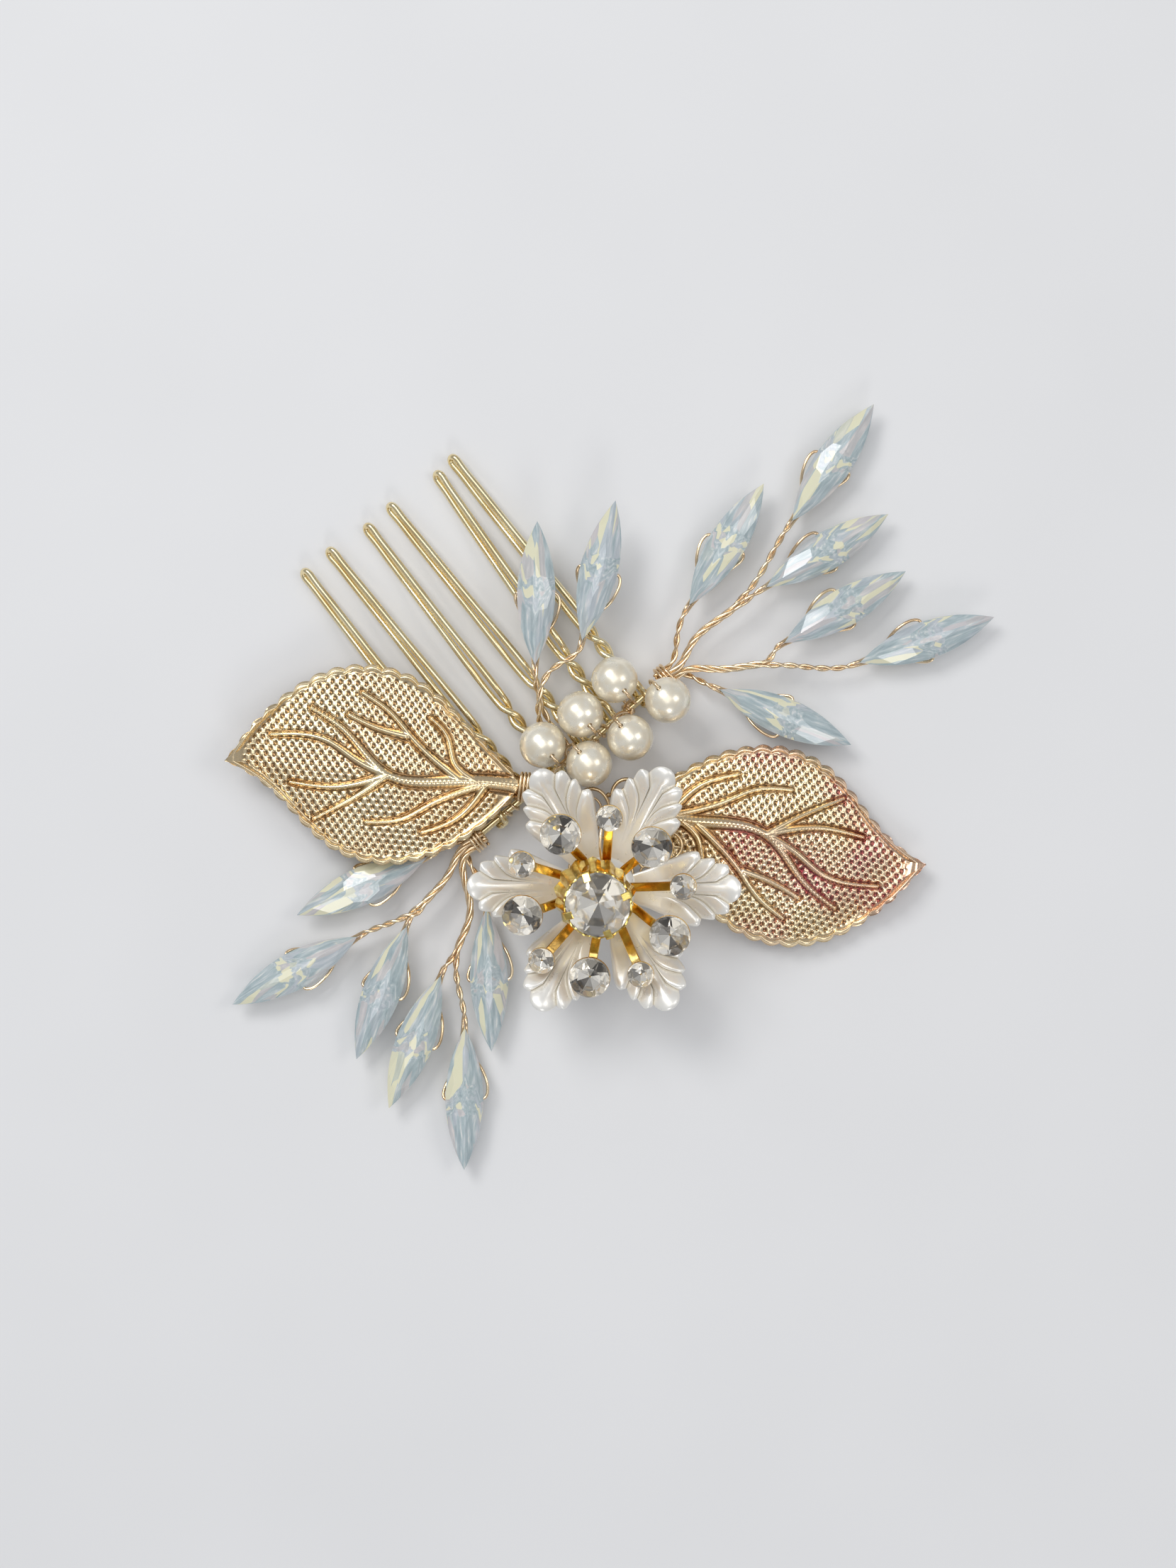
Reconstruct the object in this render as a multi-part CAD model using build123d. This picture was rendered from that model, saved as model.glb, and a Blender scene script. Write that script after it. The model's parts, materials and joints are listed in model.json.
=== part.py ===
# Decorative bridal hair comb: a wire comb that carries pearls, drilled opal
# navettes on twisted stems, two stamped leaves and a pearly flower with a
# crystal stamen.
#
# Frame: origin in the middle of the comb's spine, X along the spine, teeth
# towards -Y, ornament towards +Y, the front face towards +Z.  Millimetres.
from build123d import *
import math
import os

os.makedirs("parts", exist_ok=True)

# ---------------------------------------------------------------- comb
spine_diameter = 0.8
spine_overhang = 4.0          # spine beyond the first and last tooth
tooth_count = 6
tooth_pitch = 3.97
tooth_length = 32.4
tooth_wire = 0.7
tooth_twist_length = 9.0
tooth_half_turns = 3
tooth_arch = 1.3              # rise of the tooth at mid-length
tooth_tip_drop = 1.0          # tip below the spine axis
tooth_tip_radius = 0.52       # centre line of the rounded tip
leg_spread = 0.05             # the legs' extra half distance below the twist
tooth_roll = 52               # the loop at the tip is turned over by this much
# Each tooth leans a little from use: its tip moves this far along X, and is
# this much longer or shorter than the rest.
tooth_lean = (-0.8, -2.5, -0.5, -1.2, -0.5, -1.0)
tooth_extra = (0.0, -0.3, 0.3, 0.2, 0.8, 0.8)
hook_clearance = 0.05

# ---------------------------------------------------------------- craft wire
craft_wire = 0.33
twist_pitch = 3.9             # one turn of a twisted pair
rope_pitch = 6.2              # one turn of a four-strand stem
twist_steps = 5               # straight steps in each turn of a twist
coil_steps = 6                # straight steps in each turn of a coil
wire_gap = 0.03               # air between wires that are bound together
corner_share = 1.12           # corner of a flat-sided wire, as a share of its round radius
pair_radius = craft_wire * corner_share / 2 / math.cos(math.pi / twist_steps) + 0.004
rope_radius = pair_radius * math.sqrt(2) + 0.004
stem_sides = 4
joint_run = 0.8               # two pairs lie side by side this far before they join

# ---------------------------------------------------------------- pearls
pearl_diameter = 4.95
pearl_bore = 0.50
pearl_sides = 12
pearl_bands = 7
pearl_air = 0.12              # air between a pearl and the wires that pass it
pearl_tilt = 42.0             # bore axis away from upright
pearl_lift = 1.22             # lowest point of a pearl over the spine axis
# Hand-set places of the pearls about the middle of the spine, in pearl
# diameters: the row over the teeth, then the row over the flower.
pearl_places = ((-1.766, -0.657), (-0.741, -0.566), (0.279, -0.582),
                (-2.349, 0.394), (-1.232, 0.490), (-0.214, 0.356))

# ---------------------------------------------------------------- opals
opal_length = 15.0
opal_width = 4.0
opal_girdle = 0.25
opal_crown = 1.0
opal_pavilion = 1.35
opal_bore = 0.46

# ---------------------------------------------------------------- leaves
leaf_length = 30.8
leaf_wide = 11.4              # half width on the broad side
leaf_narrow = 9.5             # half width on the other side
leaf_thickness = 0.30
leaf_relief = 0.35            # veins and rim over the sheet
leaf_rim = 0.75
leaf_scallops = 19            # scallops along each side
leaf_scallop_depth = 0.28
leaf_arch = 1.5               # rise at mid-length
leaf_tip_drop = 0.9
leaf_neck = 2.3               # width where it is bound

# ---------------------------------------------------------------- flower
flower_x = 6.12
flower_y = 12.74
flower_turn = -100.2
petal_count = 6
petal_radius = 14.0           # distance at which the petals have risen by petal_rise
petal_tip = 14.2              # from the flower's axis to the middle lobe's tip
petal_fall = 4.8              # the outermost lobes end this much nearer the axis
petal_open = 24.0             # half angle of a petal
petal_hub_open = 27.5         # half angle where it leaves the hub
petal_lobes = 9
lobe_notch = 0.40
petal_hub_radius = 3.4
petal_floor = 2.6             # underside of the hub over the spine axis
petal_rise = 3.95
petal_sheet = 0.50
petal_rib = 0.42              # ribs over the sheet
rosette_x = 1.5
rosette_y = 10.0
rosette_radius = 6.5
rosette_turn = -2.0
rosette_thickness = 0.40
rosette_loops = 8
rosette_gap = 0.05

# ---------------------------------------------------------------- stamen
stamen_turn = -101.3
stamen_lean = 13.0
stamen_lean_heading = 24.4
stamen_arm_count = 10
stamen_arm_width = 0.9
stamen_sheet = 0.28
large_ring = 8.05
small_ring = 8.80
ring_height = 3.9             # underside of the ring cups over the stamen disc
stamen_post = 0.6             # stamen disc over the hub's top
centre_height = 6.2           # girdle of the centre stone over the disc
crown_slope = 33.0
pavilion_slope = 38.0
large_cut = {"diameter": 4.2, "crown": 0.75, "girdle": 0.18, "pavilion": 1.25, "mains": 8}
small_cut = {"diameter": 2.7, "crown": 0.50, "girdle": 0.14, "pavilion": 0.82, "mains": 6}
centre_cut = {"diameter": 6.7, "crown": 1.15, "girdle": 0.25, "pavilion": 2.00, "mains": 8}
cup_wall = 0.14
cup_sides = 8
centre_cup_sides = 12
belly_radius = 3.95           # the centre cup swells to this under its stone
belly_height = 3.4
belly_shift = 0.6             # and bulges to one side
belly_heading = -70.0
claw_turn = 70.0
seat_clearance = 0.02


# ================================================================ helpers
def save(node, shape):
    """Write one node: a solid, or a group of separate solids."""
    export_step(shape, os.path.join("parts", node + ".step"))


def unit(vector):
    return vector.normalized()


def wire_solid(points, diameter, sides=4):
    """A wire along straight steps, mitred at each bend."""
    heading = unit(points[1] - points[0])
    section = Plane(origin=points[0], z_dir=heading) * RegularPolygon(
        diameter / 2 * corner_share, sides)
    return sweep(section, path=Polyline(*points), transition=Transition.RIGHT).solid()


def side_of(heading):
    """Level direction to the left of a heading."""
    return unit(Vector(0, 0, 1).cross(heading))


def faceted(rings, flat_sides=False, closed=False):
    """A solid through rings of points in flat facets; closed rings meet end to end."""
    count = len(rings[0])
    following = rings[1:] + rings[:1] if closed else rings[1:]
    faces = []
    for low, high in zip(rings, following):
        for index in range(count):
            after = (index + 1) % count
            quad = [low[index], low[after], high[after], high[index]]
            if flat_sides:
                faces.append(Face(Wire.make_polygon(quad, close=True)))
            else:
                faces.append(Face(Wire.make_polygon(quad[:3], close=True)))
                faces.append(Face(Wire.make_polygon([quad[0], quad[2], quad[3]], close=True)))
    if not closed:
        for ring in (rings[0], rings[-1]):
            faces.append(Face(Wire.make_polygon(ring, close=True)))
    solid = Solid(Shell(faces))
    return solid if solid.volume > 0 else Solid(Shell([-face for face in faces]))


def polar(radius, degrees, height=0.0):
    angle = math.radians(degrees)
    return Vector(radius * math.cos(angle), radius * math.sin(angle), height)


# ================================================================ comb
def tooth_x(index):
    return (index - (tooth_count - 1) / 2) * tooth_pitch


def make_spine():
    half = (tooth_count - 1) / 2 * tooth_pitch + spine_overhang
    return Pos(0, 0, 0) * Rot(0, 90, 0) * Cylinder(spine_diameter / 2, 2 * half)


hook_radius = (spine_diameter + tooth_wire + 2 * hook_clearance) / 2 / math.cos(math.pi / 8)
coil_radius = (spine_diameter + craft_wire + 2 * wire_gap) / 2 / math.cos(math.pi / coil_steps)


def make_tooth(index):
    """One hairpin: hooked over the spine, twisted, then two legs and a round tip."""
    root = tooth_x(index)
    length = tooth_length + tooth_extra[index]
    lean = tooth_lean[index]
    side = tooth_wire / 2 + hook_clearance
    hook = hook_radius
    steps_per_half = 3

    def centre(along):
        share = along / length
        rise = tooth_arch * math.sin(math.pi * min(1, share * 1.15))
        return Vector(root + lean * share ** 1.3, -along, rise - tooth_tip_drop * share)

    def across(degrees):
        """Unit vector across the tooth, rolled about its length."""
        roll = math.radians(degrees)
        return Vector(math.cos(roll), 0, -math.sin(roll))

    def hook_points(sign):
        points = []
        for degrees in (0, 45, 90, 135):
            angle = math.radians(degrees)
            points.append(Vector(root - sign * side, hook * math.cos(angle),
                                 sign * hook * math.sin(angle)))
        return points

    def leg_points(sign):
        points = []
        start = 1.6
        count = tooth_half_turns * steps_per_half
        for step in range(count + 1):
            along = start + (tooth_twist_length - start) * step / count
            angle = math.pi * step / steps_per_half
            centred = centre(along)
            points.append(centred + Vector(-sign * side * 1.22 * math.cos(angle), 0,
                                           sign * side * 1.22 * math.sin(angle)))
        swap = sign if tooth_half_turns % 2 else -sign
        bends = ((0.45, side + leg_spread * 1.6, 0.3), (0.66, side + leg_spread, 0.7),
                 (0.90, tooth_tip_radius, 1.0))
        for share, half, turned in bends:
            points.append(centre(length * share) + across(tooth_roll * turned) * (swap * half))
        return points

    first = hook_points(1) + leg_points(1)
    second = hook_points(-1) + leg_points(-1)
    tip_side = 1 if tooth_half_turns % 2 else -1
    tip = []
    for degrees in (45, 90, 135):
        angle = math.radians(degrees)
        along = length - tooth_tip_radius + tooth_tip_radius * math.sin(angle)
        half = tip_side * tooth_tip_radius * math.cos(angle)
        tip.append(centre(along) + across(tooth_roll) * half)
    return wire_solid(first + tip + second[::-1], tooth_wire, 6)


def make_binding():
    """One wire coiled round the spine between the teeth, stepping over each hook."""
    coil = coil_radius
    over = hook_radius + (tooth_wire + craft_wire) / 2 * corner_share + wire_gap
    reach = tooth_wire / 2 + hook_clearance
    points = []
    for index in range(tooth_count - 1):
        left = tooth_x(index) + 2 * reach + 0.22
        right = tooth_x(index + 1) - 2 * reach - 0.22
        turns = 2
        steps = turns * coil_steps
        for step in range(steps + 1):
            angle = math.pi / 2 + 2 * math.pi * step / coil_steps
            along = left + (right - left) * step / steps
            points.append(Vector(along, coil * math.cos(angle), coil * math.sin(angle)))
        if index < tooth_count - 2:
            crossing = tooth_x(index + 1) - reach
            points.append(Vector(crossing - 0.45, 0, over))
            points.append(Vector(crossing + 0.45, 0, over))
    return wire_solid(points, craft_wire)


# ================================================================ pearls
def pearl_centre(index):
    across, along = pearl_places[index]
    return Vector(across * pearl_diameter, along * pearl_diameter,
                  pearl_lift + pearl_diameter / 2)


def inner_side(index):
    """+1 where the spine lies on the pearl's +Y side, else -1."""
    return 1 if pearl_places[index][1] < 0 else -1


def around_pearl(index, degrees, radius):
    """A point in the pearl's cross plane: 0 is up, 90 is towards the spine."""
    angle = math.radians(degrees)
    return pearl_centre(index) + Vector(0, inner_side(index) * radius * math.sin(angle),
                                        radius * math.cos(angle))


def make_pearl(index):
    """A bead in fine flats, drilled through its centre."""
    radius = pearl_diameter / 2
    start = math.degrees(math.asin(pearl_bore / 2 / radius))
    outline = []
    for band in range(pearl_bands + 1):
        angle = math.radians(start + (180 - 2 * start) * band / pearl_bands)
        outline.append((radius * math.sin(angle), radius * math.cos(angle)))
    rings = [[polar(reach, 360 * side / pearl_sides, level) for side in range(pearl_sides)]
             for reach, level in outline]
    tilt = -pearl_tilt * inner_side(index)
    bead = faceted(rings, flat_sides=True, closed=True)
    return Pos(*pearl_centre(index)) * Rot(tilt, 0, 0) * bead


def foot_x(index):
    """Where a pearl's wire lands on the spine: in the nearest gap between teeth."""
    across = pearl_centre(index).X
    middle = round(across / tooth_pitch) * tooth_pitch
    reach = tooth_pitch / 2 - tooth_wire - 3.2 * craft_wire
    return min(max(across, middle - reach), middle + reach)


def make_pearl_wire(index):
    """Down between the rows, through the bore, back under the pearl to the spine."""
    radius = pearl_diameter / 2
    pass_by = radius + craft_wire / 2 + pearl_air
    sign = inner_side(index)
    centre = pearl_centre(index)
    foot = coil_radius + 2 * craft_wire
    landing = foot_x(index)
    points = [Vector(landing + craft_wire, -sign * craft_wire, foot),
              Vector((centre.X + landing) / 2 + craft_wire * 0.6,
                     centre.Y + sign * (pass_by + 0.02), centre.Z - radius * 0.45),
              around_pearl(index, 88, pass_by + 0.02),
              around_pearl(index, 62, pass_by + 0.12),
              around_pearl(index, pearl_tilt + 4, radius + 0.42),
              around_pearl(index, pearl_tilt, radius + 0.25),
              around_pearl(index, 180 + pearl_tilt, radius + 0.25),
              around_pearl(index, 180 + pearl_tilt - 6, radius + 0.45),
              around_pearl(index, 180 + pearl_tilt - 22, pass_by + 0.06),
              around_pearl(index, 180, pass_by),
              Vector((centre.X + landing) / 2, centre.Y + sign * radius * 0.5,
                     centre.Z - pass_by),
              Vector(landing - craft_wire, sign * -craft_wire, foot)]
    return wire_solid(points, craft_wire)


# ================================================================ opals
# Each drop: base end, heading in degrees and height of its axis at the base
# and at the tip.
opals = {
    "opal_right_1": (-19.9, -4.3, -161.8, 1.3, 0.2),
    "opal_right_2": (-33.9, -4.1, -165.0, 0.6, 0.0),
    "opal_right_3": (-27.3, -0.5, 171.1, 1.1, 0.1),
    "opal_right_4": (-24.9, 5.2, 170.6, 1.2, 0.2),
    "opal_right_5": (-29.7, 11.9, 158.8, 0.7, 0.0),
    "opal_right_6": (-16.6, 4.6, 117.2, 1.3, 0.6),
    "opal_top_1": (-3.4, -9.8, -130.9, 2.9, 2.9),
    "opal_top_2": (-8.8, -8.6, -143.5, 3.2, 3.0),
    "opal_left_1": (18.3, -1.7, -16.0, 0.6, 0.2),
    "opal_left_2": (29.3, 0.0, -11.4, 0.7, 0.0),
    "opal_left_3": (24.6, 2.5, 29.2, 1.0, 0.1),
    "opal_left_4": (25.2, 8.8, 28.5, 0.9, 0.1),
    "opal_left_5": (26.8, 14.6, 49.6, 0.6, 0.0),
    "opal_left_6": (17.0, 6.5, 52.0, 0.9, 0.3),
}
bow_side = {"opal_right_6": -1, "opal_top_1": -1, "opal_top_2": -1}   # the wire bows out on this side, else on +Y
roll = {"opal_right_1": -8, "opal_right_3": 6, "opal_left_2": 7, "opal_left_5": -6}


def opal_frame(name):
    """Frame with X along the drop from its base end, Z out of its table."""
    x, y, heading, base_z, tip_z = opals[name]
    pitch = math.degrees(math.asin((base_z - tip_z) / opal_length))
    return Pos(x, y, base_z) * Rot(0, 0, heading) * Rot(0, pitch, 0) * Rot(roll.get(name, 0), 0, 0)


def outline_support(degrees, length, width):
    """Distance from the centre to the pointed oval's edge along a direction."""
    half_length = length / 2
    half_width = width / 2
    radius = (half_length ** 2 + half_width ** 2) / (2 * half_width)
    return radius - (radius - half_width) * math.sin(math.radians(degrees))


def cut_facet(blank, azimuth, steepness, reach, height):
    """Cut a blank by a plane that meets its girdle at a reach and a height."""
    level = math.radians(azimuth)
    slope = math.radians(steepness)
    out = Vector(math.cos(level) * math.sin(slope), math.sin(level) * math.sin(slope),
                 math.cos(slope))
    place = Vector(math.cos(level) * reach, math.sin(level) * reach, height)
    return split(blank, bisect_by=Plane(origin=place, z_dir=out), keep=Keep.BOTTOM)


def make_opal():
    """A slender pointed drop: girdle, table, crown and pavilion facets, cross bore."""
    half = opal_width / 2
    corner = Vector(-opal_length / 2, 0)
    points = [corner]
    for share in (-0.66, -0.24, 0.24, 0.66):
        points.append(Vector(share * opal_length / 2, half * (1 - share * share) * 1.02))
    points.append(-corner)
    points += [Vector(-point.X, -point.Y) for point in points[1:-1]]
    depth = opal_crown + opal_girdle + opal_pavilion
    stone = extrude(make_face(Polyline(*points, close=True)), depth)
    stone = Pos(0, 0, -opal_pavilion - opal_girdle / 2) * stone
    for azimuth in (90 - 24, 90 - 8, 90 + 8, 90 + 24):
        reach = outline_support(azimuth, opal_length, opal_width)
        for turn in (0, 180):
            stone = cut_facet(stone, azimuth + turn, 38, reach, opal_girdle / 2)
    for azimuth in (90 - 24, 90 - 8, 90 + 8, 90 + 24):
        reach = outline_support(azimuth, opal_length, opal_width)
        for turn in (0, 180):
            stone = cut_facet(stone, azimuth + turn, 180 - 36, reach, -opal_girdle / 2)
    bore = Rot(90, 0, 0) * extrude(RegularPolygon(opal_bore / 2 * 1.08, 6), opal_width, both=True)
    stone = stone - bore
    return Pos(opal_length / 2, 0, 0) * stone.solid()


# ================================================================ stems
# A drop's own pair runs from its base end to a joint or to the spine; a
# shared stem takes the pairs of two drops on.  Places are bent by hand.
stem_seat = spine_diameter / 2 + wire_gap
rope_reach = rope_radius + craft_wire / 2
pair_reach = pair_radius + craft_wire / 2
spine_end = (tooth_count - 1) / 2 * tooth_pitch + spine_overhang


def bound_place(side, inset, degrees, reach):
    """A place beside the spine's end, at an angle round its axis."""
    angle = math.radians(degrees)
    distance = stem_seat + reach
    return (side * (spine_end - inset), distance * math.cos(angle), distance * math.sin(angle))


shared_stems = {
    "sprig_wire_right_2": {
        "drops": ("opal_right_2", "opal_right_3"),
        "route": ((-23.2, -1.0, 1.2), (-17.5, -1.0, 1.0), bound_place(-1, -1.2, 96, rope_reach),
                  bound_place(-1, 1.6, 96, rope_reach))},
    "sprig_wire_right_3": {
        "drops": ("opal_right_5", "opal_right_4"),
        "route": ((-21.6, 5.3, 1.2), (-17.8, 2.8, 0.9), bound_place(-1, -1.2, 24, rope_reach),
                  bound_place(-1, 1.6, 24, rope_reach))},
    "sprig_wire_left_1": {
        "drops": ("opal_left_3", "opal_left_2"),
        "route": ((21.6, 1.8, 0.9), (17.6, 1.1, 0.8), bound_place(1, -1.2, 88, rope_reach),
                  bound_place(1, 1.6, 88, rope_reach))},
    "sprig_wire_left_2": {
        "drops": ("opal_left_5", "opal_left_4"),
        "route": ((22.1, 7.8, 0.9), (18.3, 5.4, 0.7), bound_place(1, -1.2, 22, rope_reach),
                  bound_place(1, 1.6, 22, rope_reach))},
}
single_stems = {
    "sprig_wire_right_1": {
        "drop": "opal_right_1",
        "route": ((-16.7, -2.5, 1.0), bound_place(-1, -0.5, 164, pair_reach),
                  bound_place(-1, 1.6, 164, pair_reach))},
    "sprig_wire_right_4": {
        "drop": "opal_right_6",
        "route": ((-15.7, 2.7, 0.5), bound_place(-1, -0.4, -44, pair_reach),
                  bound_place(-1, 1.6, -44, pair_reach))},
    "sprig_wire_top_1": {
        "drop": "opal_top_1",
        "route": ((-1.3, -6.4, 1.3), (-0.62, -3.6, 0.5), (-0.60, -1.0, 0.2))},
    "sprig_wire_top_2": {
        "drop": "opal_top_2",
        "route": ((-4.6, -8.3, 3.1), (-0.9, -6.3, 2.4), (0.50, -3.6, 0.8), (0.46, -1.0, 0.2))},
    "sprig_wire_left_3": {
        "drop": "opal_left_1",
        "route": ((16.0, -1.3, 0.4), bound_place(1, -0.6, 160, pair_reach),
                  bound_place(1, 1.6, 160, pair_reach))},
    "sprig_wire_left_4": {
        "drop": "opal_left_6",
        "route": ((15.6, 3.6, 0.3), bound_place(1, -0.6, -46, pair_reach),
                  bound_place(1, 1.6, -46, pair_reach))},
}


def twisted(route, radius, first, last=None, pitch=twist_pitch):
    """A strand's points, its angle running from first to about last."""
    whole = 360 * route.length / pitch
    if last is not None:
        whole = last - first + 180 * round((whole - (last - first)) / 180)
    count = max(2, round(abs(whole) / 360 * twist_steps))
    points = []
    for index in range(count + 1):
        share = index / count
        heading = route.tangent_at(share)
        side = side_of(heading)
        over = heading.cross(side)
        angle = math.radians(first + whole * share)
        points.append(route.position_at(share) + side * (radius * math.cos(angle))
                      + over * (radius * math.sin(angle)))
    return points, first + whole


def loop_points(name, sign):
    """From the middle of the bore, out of one side and back under the drop to its base end.

    One side bows out before it turns under; the other tucks in close below the stone.
    """
    half = opal_width / 2
    bow = ((0.0, half * 0.4, 0.0), (0.0, half + 0.16, 0.0), (-0.9, half + 0.44, 0.0),
           (-2.1, half + 0.26, -0.04), (-3.1, half * 0.93, -0.34), (-4.2, half * 0.55, -0.76),
           (-5.4, half * 0.28, -0.80), (-6.5, half * 0.15, -0.62))
    tuck = ((0.0, half * 0.4, 0.0), (0.0, half + 0.16, 0.0), (-0.35, half + 0.26, -0.16),
            (-1.2, half + 0.02, -0.50), (-2.6, half * 0.70, -0.88), (-4.4, half * 0.40, -0.95),
            (-5.6, half * 0.24, -0.82), (-6.5, half * 0.15, -0.62))
    frame = opal_frame(name)
    points = []
    for along, across, up in bow if sign == bow_side.get(name, 1) else tuck:
        place = Pos(opal_length / 2 + along, sign * across, up)
        points.append((frame * place).position)
    return points


def drop_heading(name):
    """Direction from the drop's tip to its base end."""
    frame = opal_frame(name)
    return unit((frame * Pos(-1, 0, 0)).position - frame.position)


def twig_start(name):
    """Where the two legs meet, just off the base end."""
    return opal_frame(name).position + drop_heading(name) * (0.35 + craft_wire)


def join_wire(name, legs):
    """One wire: down one leg, round through the bore and back down the other."""
    left, right = legs
    if (left[0] - right[0]).dot(side_of(drop_heading(name))) > 0:
        left, right = right, left
    path = left[::-1] + loop_points(name, 1)[::-1] + loop_points(name, -1) + right
    return wire_solid(path, craft_wire, stem_sides)


def make_single_stem(plan):
    name = plan["drop"]
    start = twig_start(name)
    points = [start] + [Vector(*point) for point in plan["route"]]
    last = unit(points[-1] - points[-2])
    route = Edge.make_spline(points, tangents=[drop_heading(name), last])
    legs = [twisted(route, pair_radius, phase)[0] for phase in (0, 180)]
    return join_wire(name, legs)


def make_shared_stem(plan):
    """Two drops' pairs run in side by side and go on as a four-strand stem."""
    points = [Vector(*point) for point in plan["route"]]
    first = unit(points[1] - points[0])
    last = unit(points[-1] - points[-2])
    trunk = Edge.make_spline(points, tangents=[first, last])
    wires = []
    starts = {name: twig_start(name) for name in plan["drops"]}
    upper = max(plan["drops"], key=lambda name: (starts[name] - points[0]).dot(side_of(first)))
    for name in plan["drops"]:
        start = starts[name]
        side = 1 if name == upper else -1
        apart = side_of(first) * (side * (pair_reach + wire_gap / 2))
        arrive = points[0] + apart - first * joint_run
        twig = Edge.make_spline([start, arrive], tangents=[drop_heading(name), first])
        legs = []
        for phase, place in ((0, 90), (180, 270)):
            own, end = twisted(twig, pair_radius, phase, place)
            top = (end % 360) < 180
            if side > 0:
                onward = 45 if top else -45
            else:
                onward = 135 if top else 225
            legs.append(own + twisted(trunk, rope_radius, onward, pitch=rope_pitch)[0])
        wires.append(join_wire(name, legs))
    return Compound(children=wires)


def make_collar(side):
    """Wire bound round the spine's end and the stems laid against it."""
    reach = (stem_seat + 2 * rope_reach + wire_gap + craft_wire / 2) / math.cos(math.pi / coil_steps)
    turns = 3
    points = []
    for step in range(turns * coil_steps + 1):
        angle = 2 * math.pi * step / coil_steps
        along = side * (spine_end - 0.25 - (craft_wire + 0.12) * step / coil_steps)
        points.append(Vector(along, reach * math.cos(angle), reach * math.sin(angle)))
    return wire_solid(points, craft_wire)


# ================================================================ leaves
# The stamping's outline and veins, as shares of the leaf's length and of the
# half width on their side.
narrow_edge = ((0.078, 0.41), (0.25, 0.83), (0.44, 1.0), (0.62, 0.86), (0.76, 0.50), (0.89, 0.17))
wide_edge = ((0.16, 0.48), (0.36, 0.90), (0.535, 1.0), (0.685, 0.91), (0.82, 0.66), (0.925, 0.33))
vein_ways = (
    ((-0.04, 0.0), (0.20, 0.0), (0.44, 0.0), (0.53, -0.19), (0.60, -0.37), (0.72, -0.55)),
    ((0.13, 0.0), (0.22, -0.17), (0.25, -0.39), (0.31, -0.55)),
    ((0.19, 0.0), (0.37, -0.36), (0.45, -0.57), (0.55, -0.73)),
    ((0.39, -0.37), (0.59, -0.52)),
    ((0.44, 0.0), (0.55, -0.11), (0.65, -0.26), (0.85, -0.28)),
    ((0.44, 0.0), (0.61, 0.18), (0.77, 0.17)),
    ((0.44, 0.0), (0.52, 0.21), (0.68, 0.55)),
    ((0.12, 0.03), (0.29, 0.29), (0.38, 0.47), (0.50, 0.54)),
    ((0.11, 0.05), (0.19, 0.40), (0.31, 0.60)),
)
vein_start = 0.62             # width of a vein where it leaves the rib
vein_end = 0.34
leaf_camber = 6.0             # each half falls away from the rib
neck_length = 2.4
leaf_chords = (0.0, 0.22, 0.50, 0.78, 0.92, 1.0)


def leaf_height(share):
    """Height of the sheet's middle along the leaf, over its neck."""
    curl = 0.0 if share < 0.9 else (share - 0.9) * 6.0
    return leaf_arch * math.sin(math.pi * min(1, share * 1.05)) - leaf_tip_drop * share + curl


def leaf_sheet(low, high):
    """The bent strip between two levels of the sheet, over its full width."""
    stations = [(-neck_length, 0.0)]
    stations += [(leaf_length * share, leaf_height(share)) for share in leaf_chords]
    stations.append((leaf_length * 1.03, leaf_height(1.03)))
    top = [(along, height + high) for along, height in stations]
    bottom = [(along, height + low) for along, height in stations]
    profile = Plane.XZ * make_face(Polyline(*(top + bottom[::-1]), close=True))
    return extrude(profile, 1.2 * leaf_wide, both=True)


def half_outline(side, inset):
    """One half of the stamping in plan, cut straight along the rib."""
    shares, half = (narrow_edge, leaf_narrow) if side > 0 else (wide_edge, leaf_wide)
    edge_points = [(0, side * leaf_neck / 2)]
    edge_points += [(leaf_length * along, side * half * out) for along, out in shares]
    edge_points.append((leaf_length, 0))
    edge = Edge.make_spline([Vector(*point) for point in edge_points])
    neck_half = side * (leaf_neck / 2 - inset)
    neck = [Vector(-neck_length, 0), Vector(-neck_length, neck_half), Vector(0, neck_half)]
    points = []
    count = 2 * leaf_scallops
    for index in range(count):
        place = edge.position_at((index + 0.5) / count)
        heading = edge.tangent_at((index + 0.5) / count)
        out = Vector(-heading.Y, heading.X) * side
        depth = leaf_scallop_depth * (index % 2) if inset == 0 else inset + leaf_scallop_depth
        moved = place - out * depth
        if moved.Y * side > 0.05 and moved.X > -neck_length * 0.5:
            points.append(moved)
    if inset:
        points = points[::2]
    end = [Vector(leaf_length - inset * 2.2, 0)]
    return make_face(Polyline(*(neck + points + end), close=True))


def vein_band(way, side):
    """A tapering band along one vein, in plan."""
    half = leaf_narrow if side > 0 else leaf_wide
    line = [Vector(leaf_length * along, half * out) for along, out in way]
    left = []
    right = []
    for index, place in enumerate(line):
        before = line[max(0, index - 1)]
        after = line[min(len(line) - 1, index + 1)]
        heading = unit(after - before)
        width = vein_start + (vein_end - vein_start) * index / (len(line) - 1)
        out = Vector(-heading.Y, heading.X) * (width / 2)
        left.append(place + out)
        right.append(place - out)
    return make_face(Polyline(*(left + right[::-1]), close=True))


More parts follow.
